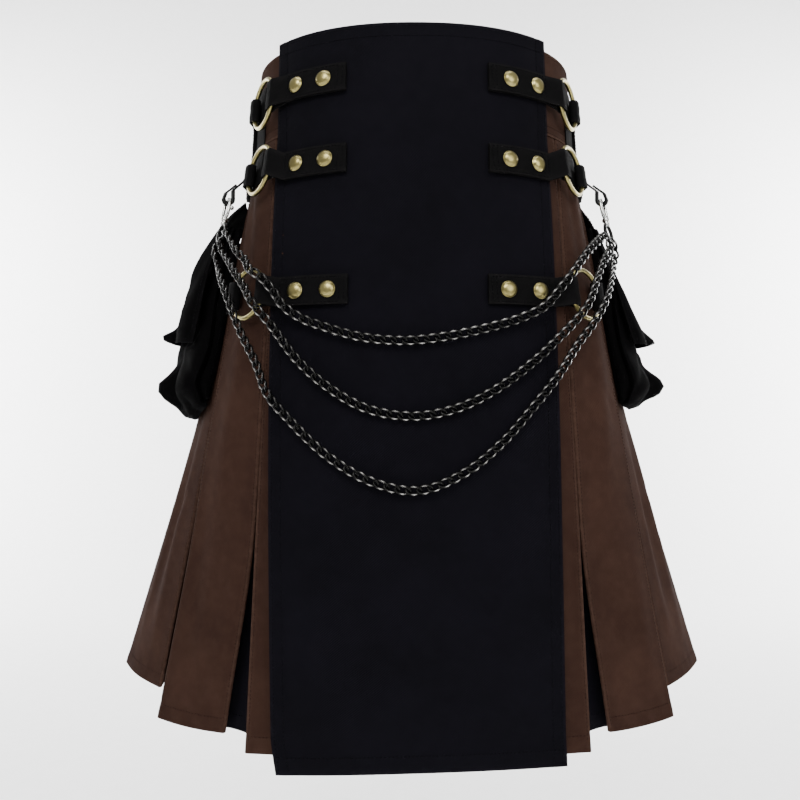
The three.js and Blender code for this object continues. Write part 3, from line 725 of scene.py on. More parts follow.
def node(tree, kind, inputs=None, **settings):
    """A shader node, each input linked to a socket or set to a value."""
    made = tree.nodes.new(kind)
    for key, value in settings.items():
        setattr(made, key, value)
    for key, value in (inputs or {}).items():
        socket = made.inputs[key]
        if isinstance(value, bpy.types.NodeSocket):
            tree.links.new(value, socket)
        else:
            socket.default_value = (*value, 1) if socket.type == "RGBA" else value
    return made


def ramp(tree, factor, *stops):
    """A colour ramp over grey values: (place, value) pairs."""
    made = node(tree, "ShaderNodeValToRGB", {"Fac": factor})
    elements = made.color_ramp.elements
    while len(elements) < len(stops):
        elements.new(0.5)
    for element, (place, value) in zip(elements, stops):
        element.position = place
        element.color = (value, value, value, 1)
    return made.outputs["Color"]


def mixed(tree, blend, factor, a, b):
    inputs = {0: factor, 6: a, 7: b}
    return node(tree, "ShaderNodeMix", inputs, data_type="RGBA", blend_type=blend).outputs[2]


def maths(tree, operation, a, b):
    return node(tree, "ShaderNodeMath", {0: a, 1: b}, operation=operation).outputs[0]


def noise(tree, vector, scale, detail=3.0, roughness=0.5):
    inputs = {"Vector": vector, "Scale": scale, "Detail": detail, "Roughness": roughness}
    return node(tree, "ShaderNodeTexNoise", inputs).outputs["Fac"]


def mapped(tree, vector, key, value):
    return node(tree, "ShaderNodeMapping", {"Vector": vector, key: value}).outputs["Vector"]


def bump(tree, height, strength, distance, under=None):
    inputs = {"Height": height, "Strength": strength, "Distance": distance}
    if under is not None:
        inputs["Normal"] = under
    return node(tree, "ShaderNodeBump", inputs).outputs["Normal"]


def matt(tree, shader, colour, roughness, specular):
    tree.links.new(colour, shader.inputs["Base Color"])
    shader.inputs["Roughness"].default_value = roughness
    shader.inputs["Specular IOR Level"].default_value = specular


# A wave texture repeats every pi / 10 of its vector at scale 1.
WAVE_REPEAT = math.pi / 10
TWILL_PITCH = 0.0011
TWILL_TURN = math.radians(62)
YARN_PITCH = 0.0006


def wave(tree, vector, pitch, distortion, **settings):
    inputs = {"Vector": vector, "Scale": WAVE_REPEAT / pitch, "Distortion": distortion}
    return node(tree, "ShaderNodeTexWave", inputs, **settings).outputs["Color"]


def twill(tree, place):
    """Diagonal ribs of the drill, crossed by fine yarn."""
    ribs = wave(tree, mapped(tree, place, "Rotation", (0, 0, TWILL_TURN)), TWILL_PITCH, 0.6)
    yarn = wave(tree, place, YARN_PITCH, 0.8, bands_direction="Y")
    return mixed(tree, "MULTIPLY", 0.5, ribs, yarn)


# Scales of the drill's unevenness, from broad to fine, and how far in from an edge its wear and its painted
# seam shade reach.
CLOUD_SCALE = 9
MOTTLE_SCALE = 85
WEAR_SCALE = 210
SLUB_SCALE = 1400
SLUB_STRETCH = (1.0, 0.12, 1.0)
WEAR_AND_SEAM_SHADE_REACH = 0.02
COTTON_SPECULAR = 0.05


def drill(name, base, faded, dark_dye_and_seam_shade, roughness, specular=COTTON_SPECULAR):
    """Cotton drill: twill, slubs, uneven dye, edges that have faded with wear, and a painted shade in a band
    just inside each edge and fold.
    """
    material, tree, shader = new_material(name)
    place = node(tree, "ShaderNodeUVMap", uv_map="UVMap").outputs["UV"]
    weave = twill(tree, place)
    slubs = noise(tree, mapped(tree, place, "Scale", SLUB_STRETCH), SLUB_SCALE, 2)
    cloudy = noise(tree, place, CLOUD_SCALE, 4, 0.6)
    mottled = noise(tree, place, MOTTLE_SCALE, 4, 0.65)
    broken = ramp(tree, noise(tree, place, WEAR_SCALE, 4, 0.6), (0.36, 0.1), (0.66, 1.0))
    edge = node(tree, "ShaderNodeAttribute", attribute_name="edge").outputs["Fac"]
    inward = maths(tree, "DIVIDE", edge, WEAR_AND_SEAM_SHADE_REACH)
    near = ramp(tree, inward, (0.0, 1.0), (0.13, 0.35), (0.24, 0.0))
    # Painted shade: a darker band some 6 mm in from each edge and fold, where the cloth turns and puckers.
    beside = ramp(tree, inward, (0.15, 0.0), (0.3, 0.5), (0.7, 0.0))
    worn = maths(tree, "MULTIPLY", maths(tree, "MULTIPLY", near, broken), 0.75)
    colour = mixed(tree, "MIX", ramp(tree, cloudy, (0.35, 0.0), (0.68, 1.0)), base, dark_dye_and_seam_shade)
    colour = mixed(tree, "MIX", ramp(tree, mottled, (0.42, 0.0), (0.9, 0.3)), colour, faded)
    colour = mixed(tree, "MIX", worn, colour, faded)
    # Painted shade along the seams and folds, broken up by the wear noise.
    colour = mixed(tree, "MIX", maths(tree, "MULTIPLY", beside, broken), colour, dark_dye_and_seam_shade)
    colour = mixed(tree, "MULTIPLY", 0.35, colour, ramp(tree, weave, (0.1, 0.55), (0.8, 1.0)))
    colour = mixed(tree, "MULTIPLY", 0.3, colour, ramp(tree, slubs, (0.3, 0.7), (0.7, 1.0)))
    matt(tree, shader, colour, roughness, specular)
    normal = bump(tree, mottled, 0.25, 0.0006)
    normal = bump(tree, slubs, 0.35, 0.0002, normal)
    normal = bump(tree, weave, 0.5, 0.00018, normal)
    tree.links.new(normal, shader.inputs["Normal"])
    return material


THREAD_SCALE = 900
THREAD_SHADE = 0.6


def thread(name, colour):
    material, tree, shader = new_material(name)
    varied = noise(tree, node(tree, "ShaderNodeTexCoord").outputs["Object"], THREAD_SCALE, 2)
    dark = tuple(c * THREAD_SHADE for c in colour)
    yarn = mixed(tree, "MIX", ramp(tree, varied, (0.35, 0.0), (0.65, 1.0)), dark, colour)
    matt(tree, shader, yarn, 0.85, COTTON_SPECULAR)
    tree.links.new(bump(tree, varied, 0.4, 0.0001), shader.inputs["Normal"])
    return material


SCRATCH_SCALE = 2600
SCRATCH_STRETCH = (1.0, 1.0, 0.15)


def metal(name, bright, dull, roughness, scale, glint_colour=None):
    """Plated metal: dull and rougher in blotches, finely scratched, and with a painted highlight where a
    link's crest is marked.
    """
    material, tree, shader = new_material(name)
    place = node(tree, "ShaderNodeTexCoord").outputs["Object"]
    blotches = noise(tree, place, scale, 5, 0.62)
    specks = noise(tree, place, scale * 6, 3)
    colour = mixed(tree, "MIX", ramp(tree, blotches, (0.38, 0.0), (0.66, 1.0)), bright, dull)
    colour = mixed(tree, "MIX", ramp(tree, specks, (0.62, 0.0), (0.8, 0.4)), colour, dull)
    if glint_colour:
        # Painted highlight: the last colour is laid on the marked crests of a chain's links.
        painted_glint = node(tree, "ShaderNodeAttribute", attribute_name="painted_glint").outputs["Fac"]
        colour = mixed(tree, "MIX", ramp(tree, painted_glint, (0.3, 0.0), (0.85, 1.0)), colour, glint_colour)
    tree.links.new(colour, shader.inputs["Base Color"])
    low, high = roughness
    tree.links.new(ramp(tree, blotches, (0.3, low), (0.7, high)), shader.inputs["Roughness"])
    scratches = noise(tree, mapped(tree, place, "Scale", SCRATCH_STRETCH), SCRATCH_SCALE, 2)
    tree.links.new(bump(tree, scratches, 0.05, 0.0001), shader.inputs["Normal"])
    shader.inputs["Metallic"].default_value = 1.0
    return material


BROWN = drill(
    "brown_drill", (0.0365, 0.0187, 0.0132),
    (0.066, 0.0375, 0.0275), (0.0235, 0.0118, 0.0088), 0.92, 0.018
)
BLACK = drill(
    "black_drill", (0.0034, 0.0030, 0.0050), (0.0064, 0.0058, 0.0086), (0.0022, 0.0020, 0.0032), 0.95
)
# Painted shade: the pockets take a darker copy of the black drill, with less sheen, for the shade they hang
# in at the sides.
SHADED_POCKET_BLACK = drill(
    "black_drill_painted_shade", (0.0024, 0.0022, 0.0025),
    (0.0046, 0.0043, 0.0046), (0.0012,) * 3, 0.95, 0.02
)
STRAP_BLACK = drill(
    "black_strap_drill", (0.0030, 0.0028, 0.0031), (0.0082, 0.0074, 0.0075), (0.0019,) * 3, 0.9
)
BROWN_THREAD = thread("dark_brown_thread", (0.020, 0.010, 0.008))
BLACK_THREAD = thread("black_thread", (0.0024, 0.0022, 0.0030))
BRASS = metal(
    "antique_brass", (0.33, 0.285, 0.115), (0.22, 0.185, 0.07), (0.27, 0.34), 60
)
NICKEL = metal(
    "bright_nickel", (0.60, 0.60, 0.58), (0.34, 0.34, 0.33), (0.14, 0.34), 300
)
# The last colour is a painted highlight on the crests of the links' side wires.
GUNMETAL = metal(
    "blackened_steel", (0.016, 0.0155, 0.015), (0.007,) * 3, (0.2, 0.34), 420, (0.36, 0.35, 0.335)
)


# Camera


def make_camera():
    data = bpy.data.cameras.new("camera")
    data.lens = CAMERA_LENS
    data.sensor_width = SENSOR_WIDTH
    camera = bpy.data.objects.new("camera", data)
    bpy.context.collection.objects.link(camera)
    camera.location = CAMERA_AT
    camera.rotation_euler = (math.pi / 2, 0, CAMERA_TURN)
    bpy.context.scene.camera = camera


# Chains


def gather_place(side, angle, reach):
    """A place round a gather ring: angle is below the forward direction, in the ring's own plane."""
    spot = HOOK_TOP + HOOK_WAY * (GATHER_DROP + reach * math.sin(angle))
    spot -= HOOK_ACROSS * reach * math.cos(angle)
    return np.array([side * spot.x, spot.y, spot.z])


PATH_STEP = 0.002
PATH_FINENESS = 24


def smooth_path(points, step=PATH_STEP):
    """A centripetal curve through points, sampled evenly."""
    points = [np.array(p) for p in points]
    ends = [2 * points[0] - points[1], *points, 2 * points[-1] - points[-2]]
    fine = []
    for k in range(len(points) - 1):
        p0, p1, p2, p3 = ends[k : k + 4]
        t1 = np.linalg.norm(p1 - p0) ** 0.5
        t2 = t1 + np.linalg.norm(p2 - p1) ** 0.5
        t3 = t2 + np.linalg.norm(p3 - p2) ** 0.5
        for t in np.linspace(t1, t2, PATH_FINENESS, endpoint=False):
            a1 = p0 * (t1 - t) / t1 + p1 * t / t1
            a2 = p1 * (t2 - t) / (t2 - t1) + p2 * (t - t1) / (t2 - t1)
            a3 = p2 * (t3 - t) / (t3 - t2) + p3 * (t - t2) / (t3 - t2)
            b1 = a1 * (t2 - t) / t2 + a2 * t / t2
            b2 = a2 * (t3 - t) / (t3 - t1) + a3 * (t - t1) / (t3 - t1)
            fine.append(b1 * (t2 - t) / (t2 - t1) + b2 * (t - t1) / (t2 - t1))
    fine.append(points[-1])
    fine = np.array(fine)
    run = running_length(fine)
    even = np.linspace(0, run[-1], int(run[-1] / step) + 1)
    return along_path(even, run, fine).T, run[-1]


LINK_STEPS = 16
LINK_SIDES = 8
LINK_PITCH = 2 * LINK_HALF_LENGTH - 2 * LINK_WIRE + 0.0003
END_ROLL = math.radians(48)
END_ROLL_REACH = 0.05


def link_points():
    """One curb link along X, twisted so that its ends lie across each other, and where its painted highlight
    lies.
    """
    points, painted_glint = [], []
    for i in range(LINK_STEPS):
        t = 2 * math.pi * i / LINK_STEPS

        def on_loop(angle):
            twist = LINK_TWIST * math.cos(angle)
            ahead = LINK_HALF_LENGTH * math.cos(angle)
            across = LINK_HALF_WIDTH * math.sin(angle)
            return Vector((ahead, across * math.cos(twist), across * math.sin(twist)))

        centre = on_loop(t)
        way = (on_loop(t + 0.01) - on_loop(t - 0.01)).normalized()
        first = way.cross(Vector((0, 0, 1))).normalized()
        second = way.cross(first).normalized()
        for k in range(LINK_SIDES):
            turn = 2 * math.pi * k / LINK_SIDES
            out = first * math.cos(turn) + second * math.sin(turn)
            points.append(centre + out * LINK_WIRE / 2)
            # Painted highlight: a bright spot on the upper and lower crest of each side wire, where a glint
            # would fall.
            painted_glint.append(max(0.0, abs(out.z) - 0.5) * 2 * math.sin(t) ** 10)
    faces = []
    for i in range(LINK_STEPS):
        j = (i + 1) % LINK_STEPS
        for k in range(LINK_SIDES):
            m = (k + 1) % LINK_SIDES
            faces.append((i * LINK_SIDES + k, i * LINK_SIDES + m, j * LINK_SIDES + m, j * LINK_SIDES + k))
    return np.array(points), faces, painted_glint


def chain_mesh(name, path, length):
    template, faces, painted_glint = link_points()
    count = round(length / LINK_PITCH)
    run = np.linspace(0, length, len(path))
    blocks = []
    for i in range(count + 1):
        s = i * length / count
        here = along_path(s, run, path)
        ahead = along_path(s + LINK_PITCH / 2, run, path)
        behind = along_path(s - LINK_PITCH / 2, run, path)
        way = unit(ahead - behind)
        away = np.array([here[0] / SECTIONS[1]["half"] ** 2, here[1] / SECTIONS[1]["back"] ** 2, 0])
        out = unit(away - way * away.dot(way))
        near_start = max(0, 1 - s / END_ROLL_REACH)
        near_end = max(0, 1 - (length - s) / END_ROLL_REACH)
        roll = END_ROLL * (near_end - near_start)
        side = np.cross(out, way)
        out, side = out * math.cos(roll) + side * math.sin(roll), side * math.cos(roll) - out * math.sin(roll)
        blocks.append(template @ np.stack([way, side, out]) + here)
    obj = copies(name, blocks, faces, GUNMETAL)
    # Each link carries the marks of its painted highlight.
    point_values(obj, "painted_glint", painted_glint * len(blocks))
    select_only(obj)
    face_outward()
    return obj


def make_chains():
    start = GATHER_RADIUS + GATHER_WIRE / 2 + CHAIN_CLEAR
    for number, chain in enumerate(CHAINS, 1):
        angle = math.radians(chain["leave"])
        points = [gather_place(-1, angle, start), gather_place(-1, angle, start + CHAIN_LEAD)]
        points += [skin_at(row["s"], row["z"], row["out"]) for row in chain["rows"]]
        points += [gather_place(1, angle, start + CHAIN_LEAD), gather_place(1, angle, start)]
        path, length = smooth_path(points)
        links = chain_mesh(f"curb_chain_{number}", path, length)
        keep(links, "gunmetal", f"chain_{number}")


# Skirt

PANEL_ROWS = 78
ROLL_TURN = 1.5
ROLL_STEPS = 7
RETURN_STEPS = 5


def turned_edge(fold, along, z, front):
    """From the return behind a face round the fold's roll, in the order that leads on to the face."""
    way = along if front else -along
    out = outward(along)
    depth = row_at(PLEAT_DEPTH, z)["depth"]
    end = fold + way * PLEAT_RETURN - out * depth
    centre = fold + way * FOLD_RADIUS - out * FOLD_RADIUS
    turns = np.linspace(-ROLL_TURN, ROLL_TURN, ROLL_STEPS)
    roll = [centre + FOLD_RADIUS * (-way * math.cos(t) + out * math.sin(t)) for t in turns]
    back = [end + (roll[0] - end) * f for f in np.linspace(0, 1, RETURN_STEPS, endpoint=False)]
    return back + roll


FOLD_COLUMN = RETURN_STEPS + ROLL_STEPS // 2


def panel_row(face, z):
    along_front = unit(face[1] - face[0])
    along_rear = unit(face[-1] - face[-2])
    row = turned_edge(face[0], along_front, z, True)
    row += face[1:-1]
    row += turned_edge(face[-1], along_rear, z, False)[::-1]
    return [(p[0], p[1], z) for p in row]


def side_cloth(grid, side):
    """The cloth of a grid of the right side, or of its mirror for the left side."""
    return Cloth(np.array(grid)[:, ::-1] * (-1, 1, 1) if side < 0 else grid)


def panel_cloth(line, side=1):
    cloth = side_cloth([panel_row(line(z), z) for z in np.linspace(PLEAT_TOP, HEM, PANEL_ROWS)], side)
    last = cloth.u.shape[1] - 1
    cloth.left_u = cloth.u[:, FOLD_COLUMN]
    cloth.right_u = cloth.u[:, last - FOLD_COLUMN]
    cloth.edge = np.abs(np.minimum(cloth.u - cloth.left_u[:, None], cloth.right_u[:, None] - cloth.u))
    return cloth


# Creases of the panels: where each starts and ends over the cloth (u from the middle, v from the
# seam), how wide it is and how far it stands out, in metres. A trough is negative.
PANEL_CREASES = {
    "front_panel": [
        ((-0.126, 0.02), (-0.112, 0.20), 0.010, 0.0022),
        ((-0.118, 0.24), (-0.124, 0.46), 0.012, -0.0020),
        ((0.125, 0.04), (0.114, 0.22), 0.011, 0.0020),
        ((0.120, 0.26), (0.126, 0.47), 0.012, -0.0022),
        ((0.02, 0.30), (-0.03, 0.50), 0.020, 0.0020),
    ],
    "panel_back": [
        ((-0.012, 0.03), (0.006, 0.19), 0.009, 0.0020),
        ((0.014, 0.22), (-0.008, 0.43), 0.011, -0.0026),
    ],
    1: [
        ((-0.014, 0.01), (0.006, 0.15), 0.009, -0.0024),
        ((0.012, 0.10), (-0.006, 0.33), 0.012, 0.0030),
        ((-0.022, 0.30), (-0.006, 0.49), 0.011, -0.0024),
        ((0.022, 0.36), (0.016, 0.50), 0.009, 0.0018),
        ((-0.028, 0.21), (0.020, 0.245), 0.006, -0.0013),
    ],
    2: [
        ((0.004, 0.22), (-0.010, 0.46), 0.013, -0.0034),
        ((0.022, 0.26), (0.016, 0.50), 0.010, 0.0026),
        ((-0.024, 0.28), (-0.018, 0.49), 0.009, 0.0022),
        ((-0.02, 0.02), (-0.012, 0.16), 0.008, 0.0016),
        ((0.024, 0.33), (-0.012, 0.36), 0.007, -0.0014),
    ],
    3: [
        ((-0.010, 0.02), (0.008, 0.21), 0.010, 0.0024),
        ((0.014, 0.19), (-0.004, 0.42), 0.012, -0.0030),
        ((-0.020, 0.31), (-0.014, 0.50), 0.010, 0.0024),
        ((0.020, 0.39), (-0.016, 0.43), 0.007, -0.0012),
    ],
    4: [
        ((0.010, 0.02), (-0.008, 0.17), 0.009, -0.0020),
        ((-0.012, 0.15), (0.010, 0.40), 0.012, 0.0028),
        ((0.018, 0.34), (0.012, 0.50), 0.010, -0.0024),
    ],
}


def add_creases(relief, cloth, creases, seed):
    u, v = cloth.lengths()
    rng = np.random.default_rng(seed)
    for start, end, width, height in creases:
        bend = rng.uniform(-0.006, 0.006)
        relief += crease(u, v, start, end, width, height, bend)
    return relief


# How far in from an edge or seam the relief of the cloth fades out.
FOLD_EASE = 0.006
SEAM_EASE = 0.02


def inside(cloth, reach=FOLD_EASE):
    """1 over the face, fading to 0 at its folds, so that the seams and folds keep their line."""
    u = cloth.u
    left = np.clip((u - cloth.left_u[:, None]) / reach, 0, 1)
    right = np.clip((cloth.right_u[:, None] - u) / reach, 0, 1)
    v = cloth.lengths()[1]
    return left * right * np.clip(v / SEAM_EASE, 0, 1)


def dress_panel(name, cloth, creases, seed, *nodes):
    u, v = cloth.lengths()
    relief = waves(u, v, seed, PANEL_SWELL)
    relief = add_creases(relief, cloth, creases, seed + 1)
    relief += pucker(v, cloth.edge, seed + 2)
    relief += pucker(u, v - 0.001, seed + 3, at=0.006, reach=0.010, height=0.0006, pitch=0.014)
    relief *= inside(cloth)
    relief += hem_relief(v, cloth.length) * inside(cloth, 0.002)
    relief += pucker(u, cloth.length - v, seed + 4, at=HEM_STITCH, height=0.0004) * inside(cloth, 0.002)
    cloth.raise_by(relief)
    obj = keep(cloth_mesh(name, cloth, BROWN), "brown_cloth", *nodes)
    rows = []
    for u_line, sign in ((cloth.left_u, 1), (cloth.right_u, -1)):
        line = []
        for v_here in np.arange(SEAM_START, cloth.length - SEAM_END, LINE_STEP):
            row = cloth.row_of(v_here)
            place = float(np.interp(v_here, cloth.v, u_line)) + sign * EDGE_STITCH
            line.append(cloth.at(row, cloth.column_of(row, place)))
        rows.append(line)
    row = cloth.row_of(cloth.length - HEM_STITCH)
    k = int(round(row))
    places = np.arange(cloth.left_u[k], cloth.right_u[k], FINE_STEP)
    rows.append([cloth.at(row, cloth.column_of(row, place)) for place in places])
    state_sheet(cloth, [sew(f"{name}_stitches", rows, "brown_cloth")])


def whole_front_line(z):
    half = front_line(z)
    return [p * (-1, 1) for p in half[:0:-1]] + half


def make_skirt():
    front = panel_cloth(whole_front_line)
    dress_panel("front_panel_cloth", front, PANEL_CREASES["front_panel"], FRONT_SEED, "front_panel")
    back = panel_cloth(back_line)
    dress_panel("back_panel_cloth", back, PANEL_CREASES["panel_back"], BACK_SEED, "panel_back")
    for number, (front_fold, rear_fold) in enumerate(PANEL_FOLDS, 1):
        for side, word in SIDES:
            cloth = panel_cloth(lambda z: panel_line(front_fold, rear_fold, z), side)
            name = f"panel_cloth_{word}_{number}"
            seed = PANEL_SEED + 10 * number + side
            dress_panel(name, cloth, PANEL_CREASES[number], seed, f"panel_{word}_{number}")


INSET_ROWS = 60
INSET_COLUMNS = 16


def gap_ways(index, z):
    before = front_line(z) if index == 0 else panel_line(*PANEL_FOLDS[index - 1], z)
    after = panel_line(*PANEL_FOLDS[index], z) if index < len(PANEL_FOLDS) else back_line(z)
    return unit(before[-1] - before[-2]), unit(after[1] - after[0])


def make_insets():
    for index, (rear, front) in enumerate(INSET_FOLDS):
        for side, word in SIDES:
            grid = []
            for z in np.linspace(PLEAT_TOP, INSET_HEM, INSET_ROWS):
                before, after = gap_ways(index, z)
                depth = row_at(PLEAT_DEPTH, z)["depth"] + INSET_BEHIND
                a = fold_point(rear, z) - before * PLEAT_RETURN - outward(before) * depth
                b = fold_point(front, z) + after * PLEAT_RETURN - outward(after) * depth
                points = face_line(a, b, -INSET_BOW * drop(z), INSET_COLUMNS)
                grid.append([(p[0], p[1], z) for p in points])
            cloth = side_cloth(grid, side)
            u, v = cloth.lengths()
            seed = INSET_SEED + 10 * index + side
            ease = np.clip(cloth.edge / FOLD_EASE, 0, 1) * np.clip(v / SEAM_EASE, 0, 1)
            cloth.raise_by(waves(u, v, seed, INSET_SWELL) * ease + hem_relief(v, cloth.length))
            name = f"inset_cloth_{word}_{index + 1}"
            obj = keep(cloth_mesh(name, cloth, BLACK), "black_cloth", f"inset_{word}_{index + 1}")
            rows = [cloth.line_across(cloth.length - HEM_STITCH)]
            state_sheet(cloth, [sew(f"{name}_stitches", rows, "black_cloth")])


YOKE_ROWS = 16
YOKE_COLUMNS = 150
YOKE_SECOND_STITCH = 0.009
YOKE_CLOSURE = 0.02
YOKE_CREASES = [
    ((0.205, 0.010), (0.225, 0.060), 0.008, 0.0013),
    ((-0.208, 0.012), (-0.222, 0.064), 0.008, 0.0013),
    ((0.262, 0.020), (0.300, 0.034), 0.006, -0.0011),
    ((-0.270, 0.030), (-0.306, 0.044), 0.006, -0.0012),
    ((0.340, 0.014), (0.352, 0.062), 0.009, 0.0013),
    ((-0.345, 0.016), (-0.338, 0.060), 0.009, 0.0012),
    ((-0.140, 0.012), (-0.150, 0.066), 0.006, -0.0008),
    ((0.140, 0.012), (0.152, 0.066), 0.006, -0.0008),
]


def make_yoke():
    grid = []
    for z in np.linspace(YOKE_TOP, YOKE_BOTTOM, YOKE_ROWS):
        line = section_line(z)
        spots = [i / YOKE_COLUMNS * line.total for i in range(-YOKE_COLUMNS, YOKE_COLUMNS + 1)]
        grid.append([(*skin_point(line, s), z) for s in spots])
        grid[-1][-1] = grid[-1][0]
    cloth = Cloth(grid, closed=True)
    u, v = cloth.lengths()
    cloth.edge = np.minimum(v, cloth.length - v)
    relief = waves(u, v, YOKE_SEED, YOKE_SWELL)
    relief = relief + add_creases(np.zeros_like(u), cloth, YOKE_CREASES, YOKE_SEED + 1)
    relief += pucker(u, cloth.edge, YOKE_SEED + 2)
    ends = np.abs(u) > np.abs(u).max() - YOKE_CLOSURE
    relief *= np.where(ends, 0, 1) * np.clip(cloth.edge / 0.004, 0, 1)
    relief += 0.0004 * np.exp(-((cloth.edge / 0.003) ** 2))
    cloth.raise_by(relief)
    obj = keep(cloth_mesh("yoke_cloth", cloth, BROWN), "brown_cloth", "yoke")
    places = (EDGE_STITCH, cloth.length - EDGE_STITCH, cloth.length - YOKE_SECOND_STITCH)
    sewn = sew("yoke_stitches", [cloth.line_across(place) for place in places], "brown_cloth")
    state_sheet(cloth, [sewn])


# Apron

APRON_ROWS = 110
APRON_COLUMNS = 76
APRON_SEAM = 0.010
APRON_TOP_SEAMS = (0.003, 0.012)
# It hangs a little askew: how far each edge lies to the right, and how far its right corner is raised.
APRON_SHIFT = table(
    "z left right",
    (0.0, -0.005, -0.006), (-0.570, 0.001, -0.002), (APRON_END, 0.005, -0.001),
)
APRON_RISE = 0.006
APRON_CREASES = [
    ((-0.100, 0.06), (0.040, 0.075), 0.009, -0.0008),
    ((0.090, 0.13), (-0.050, 0.148), 0.010, -0.0009),
    ((-0.060, 0.30), (-0.090, 0.56), 0.016, 0.0018),
    ((0.020, 0.36), (0.035, 0.585), 0.020, -0.0018),
    ((0.085, 0.30), (0.070, 0.57), 0.015, 0.0016),
    ((-0.020, 0.41), (-0.040, 0.58), 0.018, -0.0014),
    ((-0.105, 0.44), (-0.095, 0.59), 0.010, -0.0014),
]


def make_apron():
    grid = []
    for z in np.linspace(0.0, APRON_END, APRON_ROWS):
        row = row_at(APRON, z)
        line = skin_line(max(z, HEM))
        shift = row_at(APRON_SHIFT, z)
        share = np.linspace(0, 1, APRON_COLUMNS + 1)
        spots = -row["half"] + shift["left"] + share * (2 * row["half"] + shift["right"] - shift["left"])
        rise = APRON_RISE * (z / APRON_END) ** 4
        grid.append([(*skin_point(line, s, row["off"]), z + rise * f) for s, f in zip(spots, share)])
    cloth = Cloth(grid)
    u, v = cloth.lengths()
    near_edge = np.minimum(cloth.edge, np.minimum(v, cloth.length - v))
    relief = waves(u, v, APRON_SEED, APRON_SWELL, (0.2, 0.12)) * np.clip(v / 0.12, 0.15, 1)
    relief = add_creases(relief, cloth, APRON_CREASES, APRON_SEED + 1)
    relief *= np.clip(near_edge / 0.012, 0.25, 1)
    relief += pucker(v, cloth.edge, APRON_SEED + 2, at=APRON_SEAM, height=0.0003)
    relief += hem_relief(v, cloth.length) + hem_relief(-cloth.edge, 0, APRON_SEAM, 0.0003)
    cloth.edge = near_edge
    cloth.raise_by(relief)
    obj = keep(cloth_mesh("apron_cloth", cloth, BLACK), "black_cloth", "apron")
    seams = [(inset, edge) for edge in (-1, 1) for inset in (EDGE_STITCH, APRON_SEAM)]
    rows = [cloth.line_down(inset, edge, 0.0, cloth.length) for inset, edge in seams]
    rows += [cloth.line_across(place) for place in (*APRON_TOP_SEAMS, cloth.length - HEM_STITCH)]
    state_sheet(cloth, [sew("apron_stitches", rows, "black_cloth")])


# Straps with their eyes


def frame_at(s, z, out):
    spot, near, far = skin_at(s, z, out), skin_at(s - SKIN_SPAN, z, out), skin_at(s + SKIN_SPAN, z, out)
    along = unit(np.array([far[0] - near[0], far[1] - near[1], 0]))
    down = unit(skin_at(s, z - SKIN_SPAN, out) - skin_at(s, z + SKIN_SPAN, out))
    normal = unit(np.cross(down, along))
    return {"spot": spot, "along": along, "out": normal, "down": np.cross(along, normal)}


def frame_point(place, along, out, down):
    return place["spot"] + place["along"] * along + place["out"] * out + place["down"] * down


def strap_low(z):
    return row_at(APRON, z)["off"] + CAD_CLOTH / 2 + STRAP_LIFT + STRAP_PLY / 2


def strap_top(z):
    return strap_low(z) + STRAP_PLY * 1.5 + PLY_GAP


def ring_frame(row):
    """A ring leans back round the hip, so its rear lies closer to the skin than its front."""
    place = frame_at(RING_ARC, row["ring_z"], RING_OFF + row_at(APRON, row["z"])["off"] - APRON[0]["off"])
    along, out = place["along"], place["out"]
    place["along"] = along * math.cos(RING_LEAN) - out * math.sin(RING_LEAN)
    place["out"] = out * math.cos(RING_LEAN) + along * math.sin(RING_LEAN)
    return place


STRAP_ROWS = 9
PLY_COLUMNS = 20
EYE_STEPS = 11


def eyed_strap(free_end, low, z, height, ring, way):
    """Two plies on the skin, folded into an eye round a ring's wire."""
    high = low + STRAP_PLY + PLY_GAP
    inner = RING_RADIUS - RING_WIRE / 2
    tip = math.sqrt(inner**2 - (height / 2) ** 2) - EYE_CLEAR - STRAP_PLY / 2
    root = RING_RADIUS + RING_WIRE / 2 + EYE_CLEAR
    plies = np.linspace(free_end, RING_ARC + way * (root + EYE_RAMP), PLY_COLUMNS)
    middle = tip + EYE_HALF
    eye = [(root, -EYE_HALF), ((root + middle) / 2, -EYE_HALF)]
    for t in np.linspace(-math.pi / 2, math.pi / 2, EYE_STEPS):
        eye.append((middle - EYE_HALF * math.cos(t), EYE_HALF * math.sin(t)))
    eye += [((root + middle) / 2, EYE_HALF), (root, EYE_HALF)]
    grid = []
    for edge in np.linspace(-0.5, 0.5, STRAP_ROWS):
        edge_z = z - edge * height
        line = skin_line(edge_z)
        row = [(*skin_point(line, s, low), edge_z) for s in plies]
        row += [tuple(frame_point(ring, way * along, out, edge * height)) for along, out in eye]
        row += [(*skin_point(line, s, high), edge_z) for s in plies[::-1]]
        grid.append(row[::-1] if way < 0 else row)
    return grid


# A strap is padded beside its edges and drawn in along its stitches.
STRAP_STITCH = 0.002
STRAP_GROOVE_HALF = 0.0008
STRAP_PAD = 0.0045
STRAP_PAD_HALF = 0.003
BOX_END = 0.004
BOX_EYE = 0.006
BOX_ROWS = np.linspace(0.6, STRAP_ROWS - 1.6, 8)


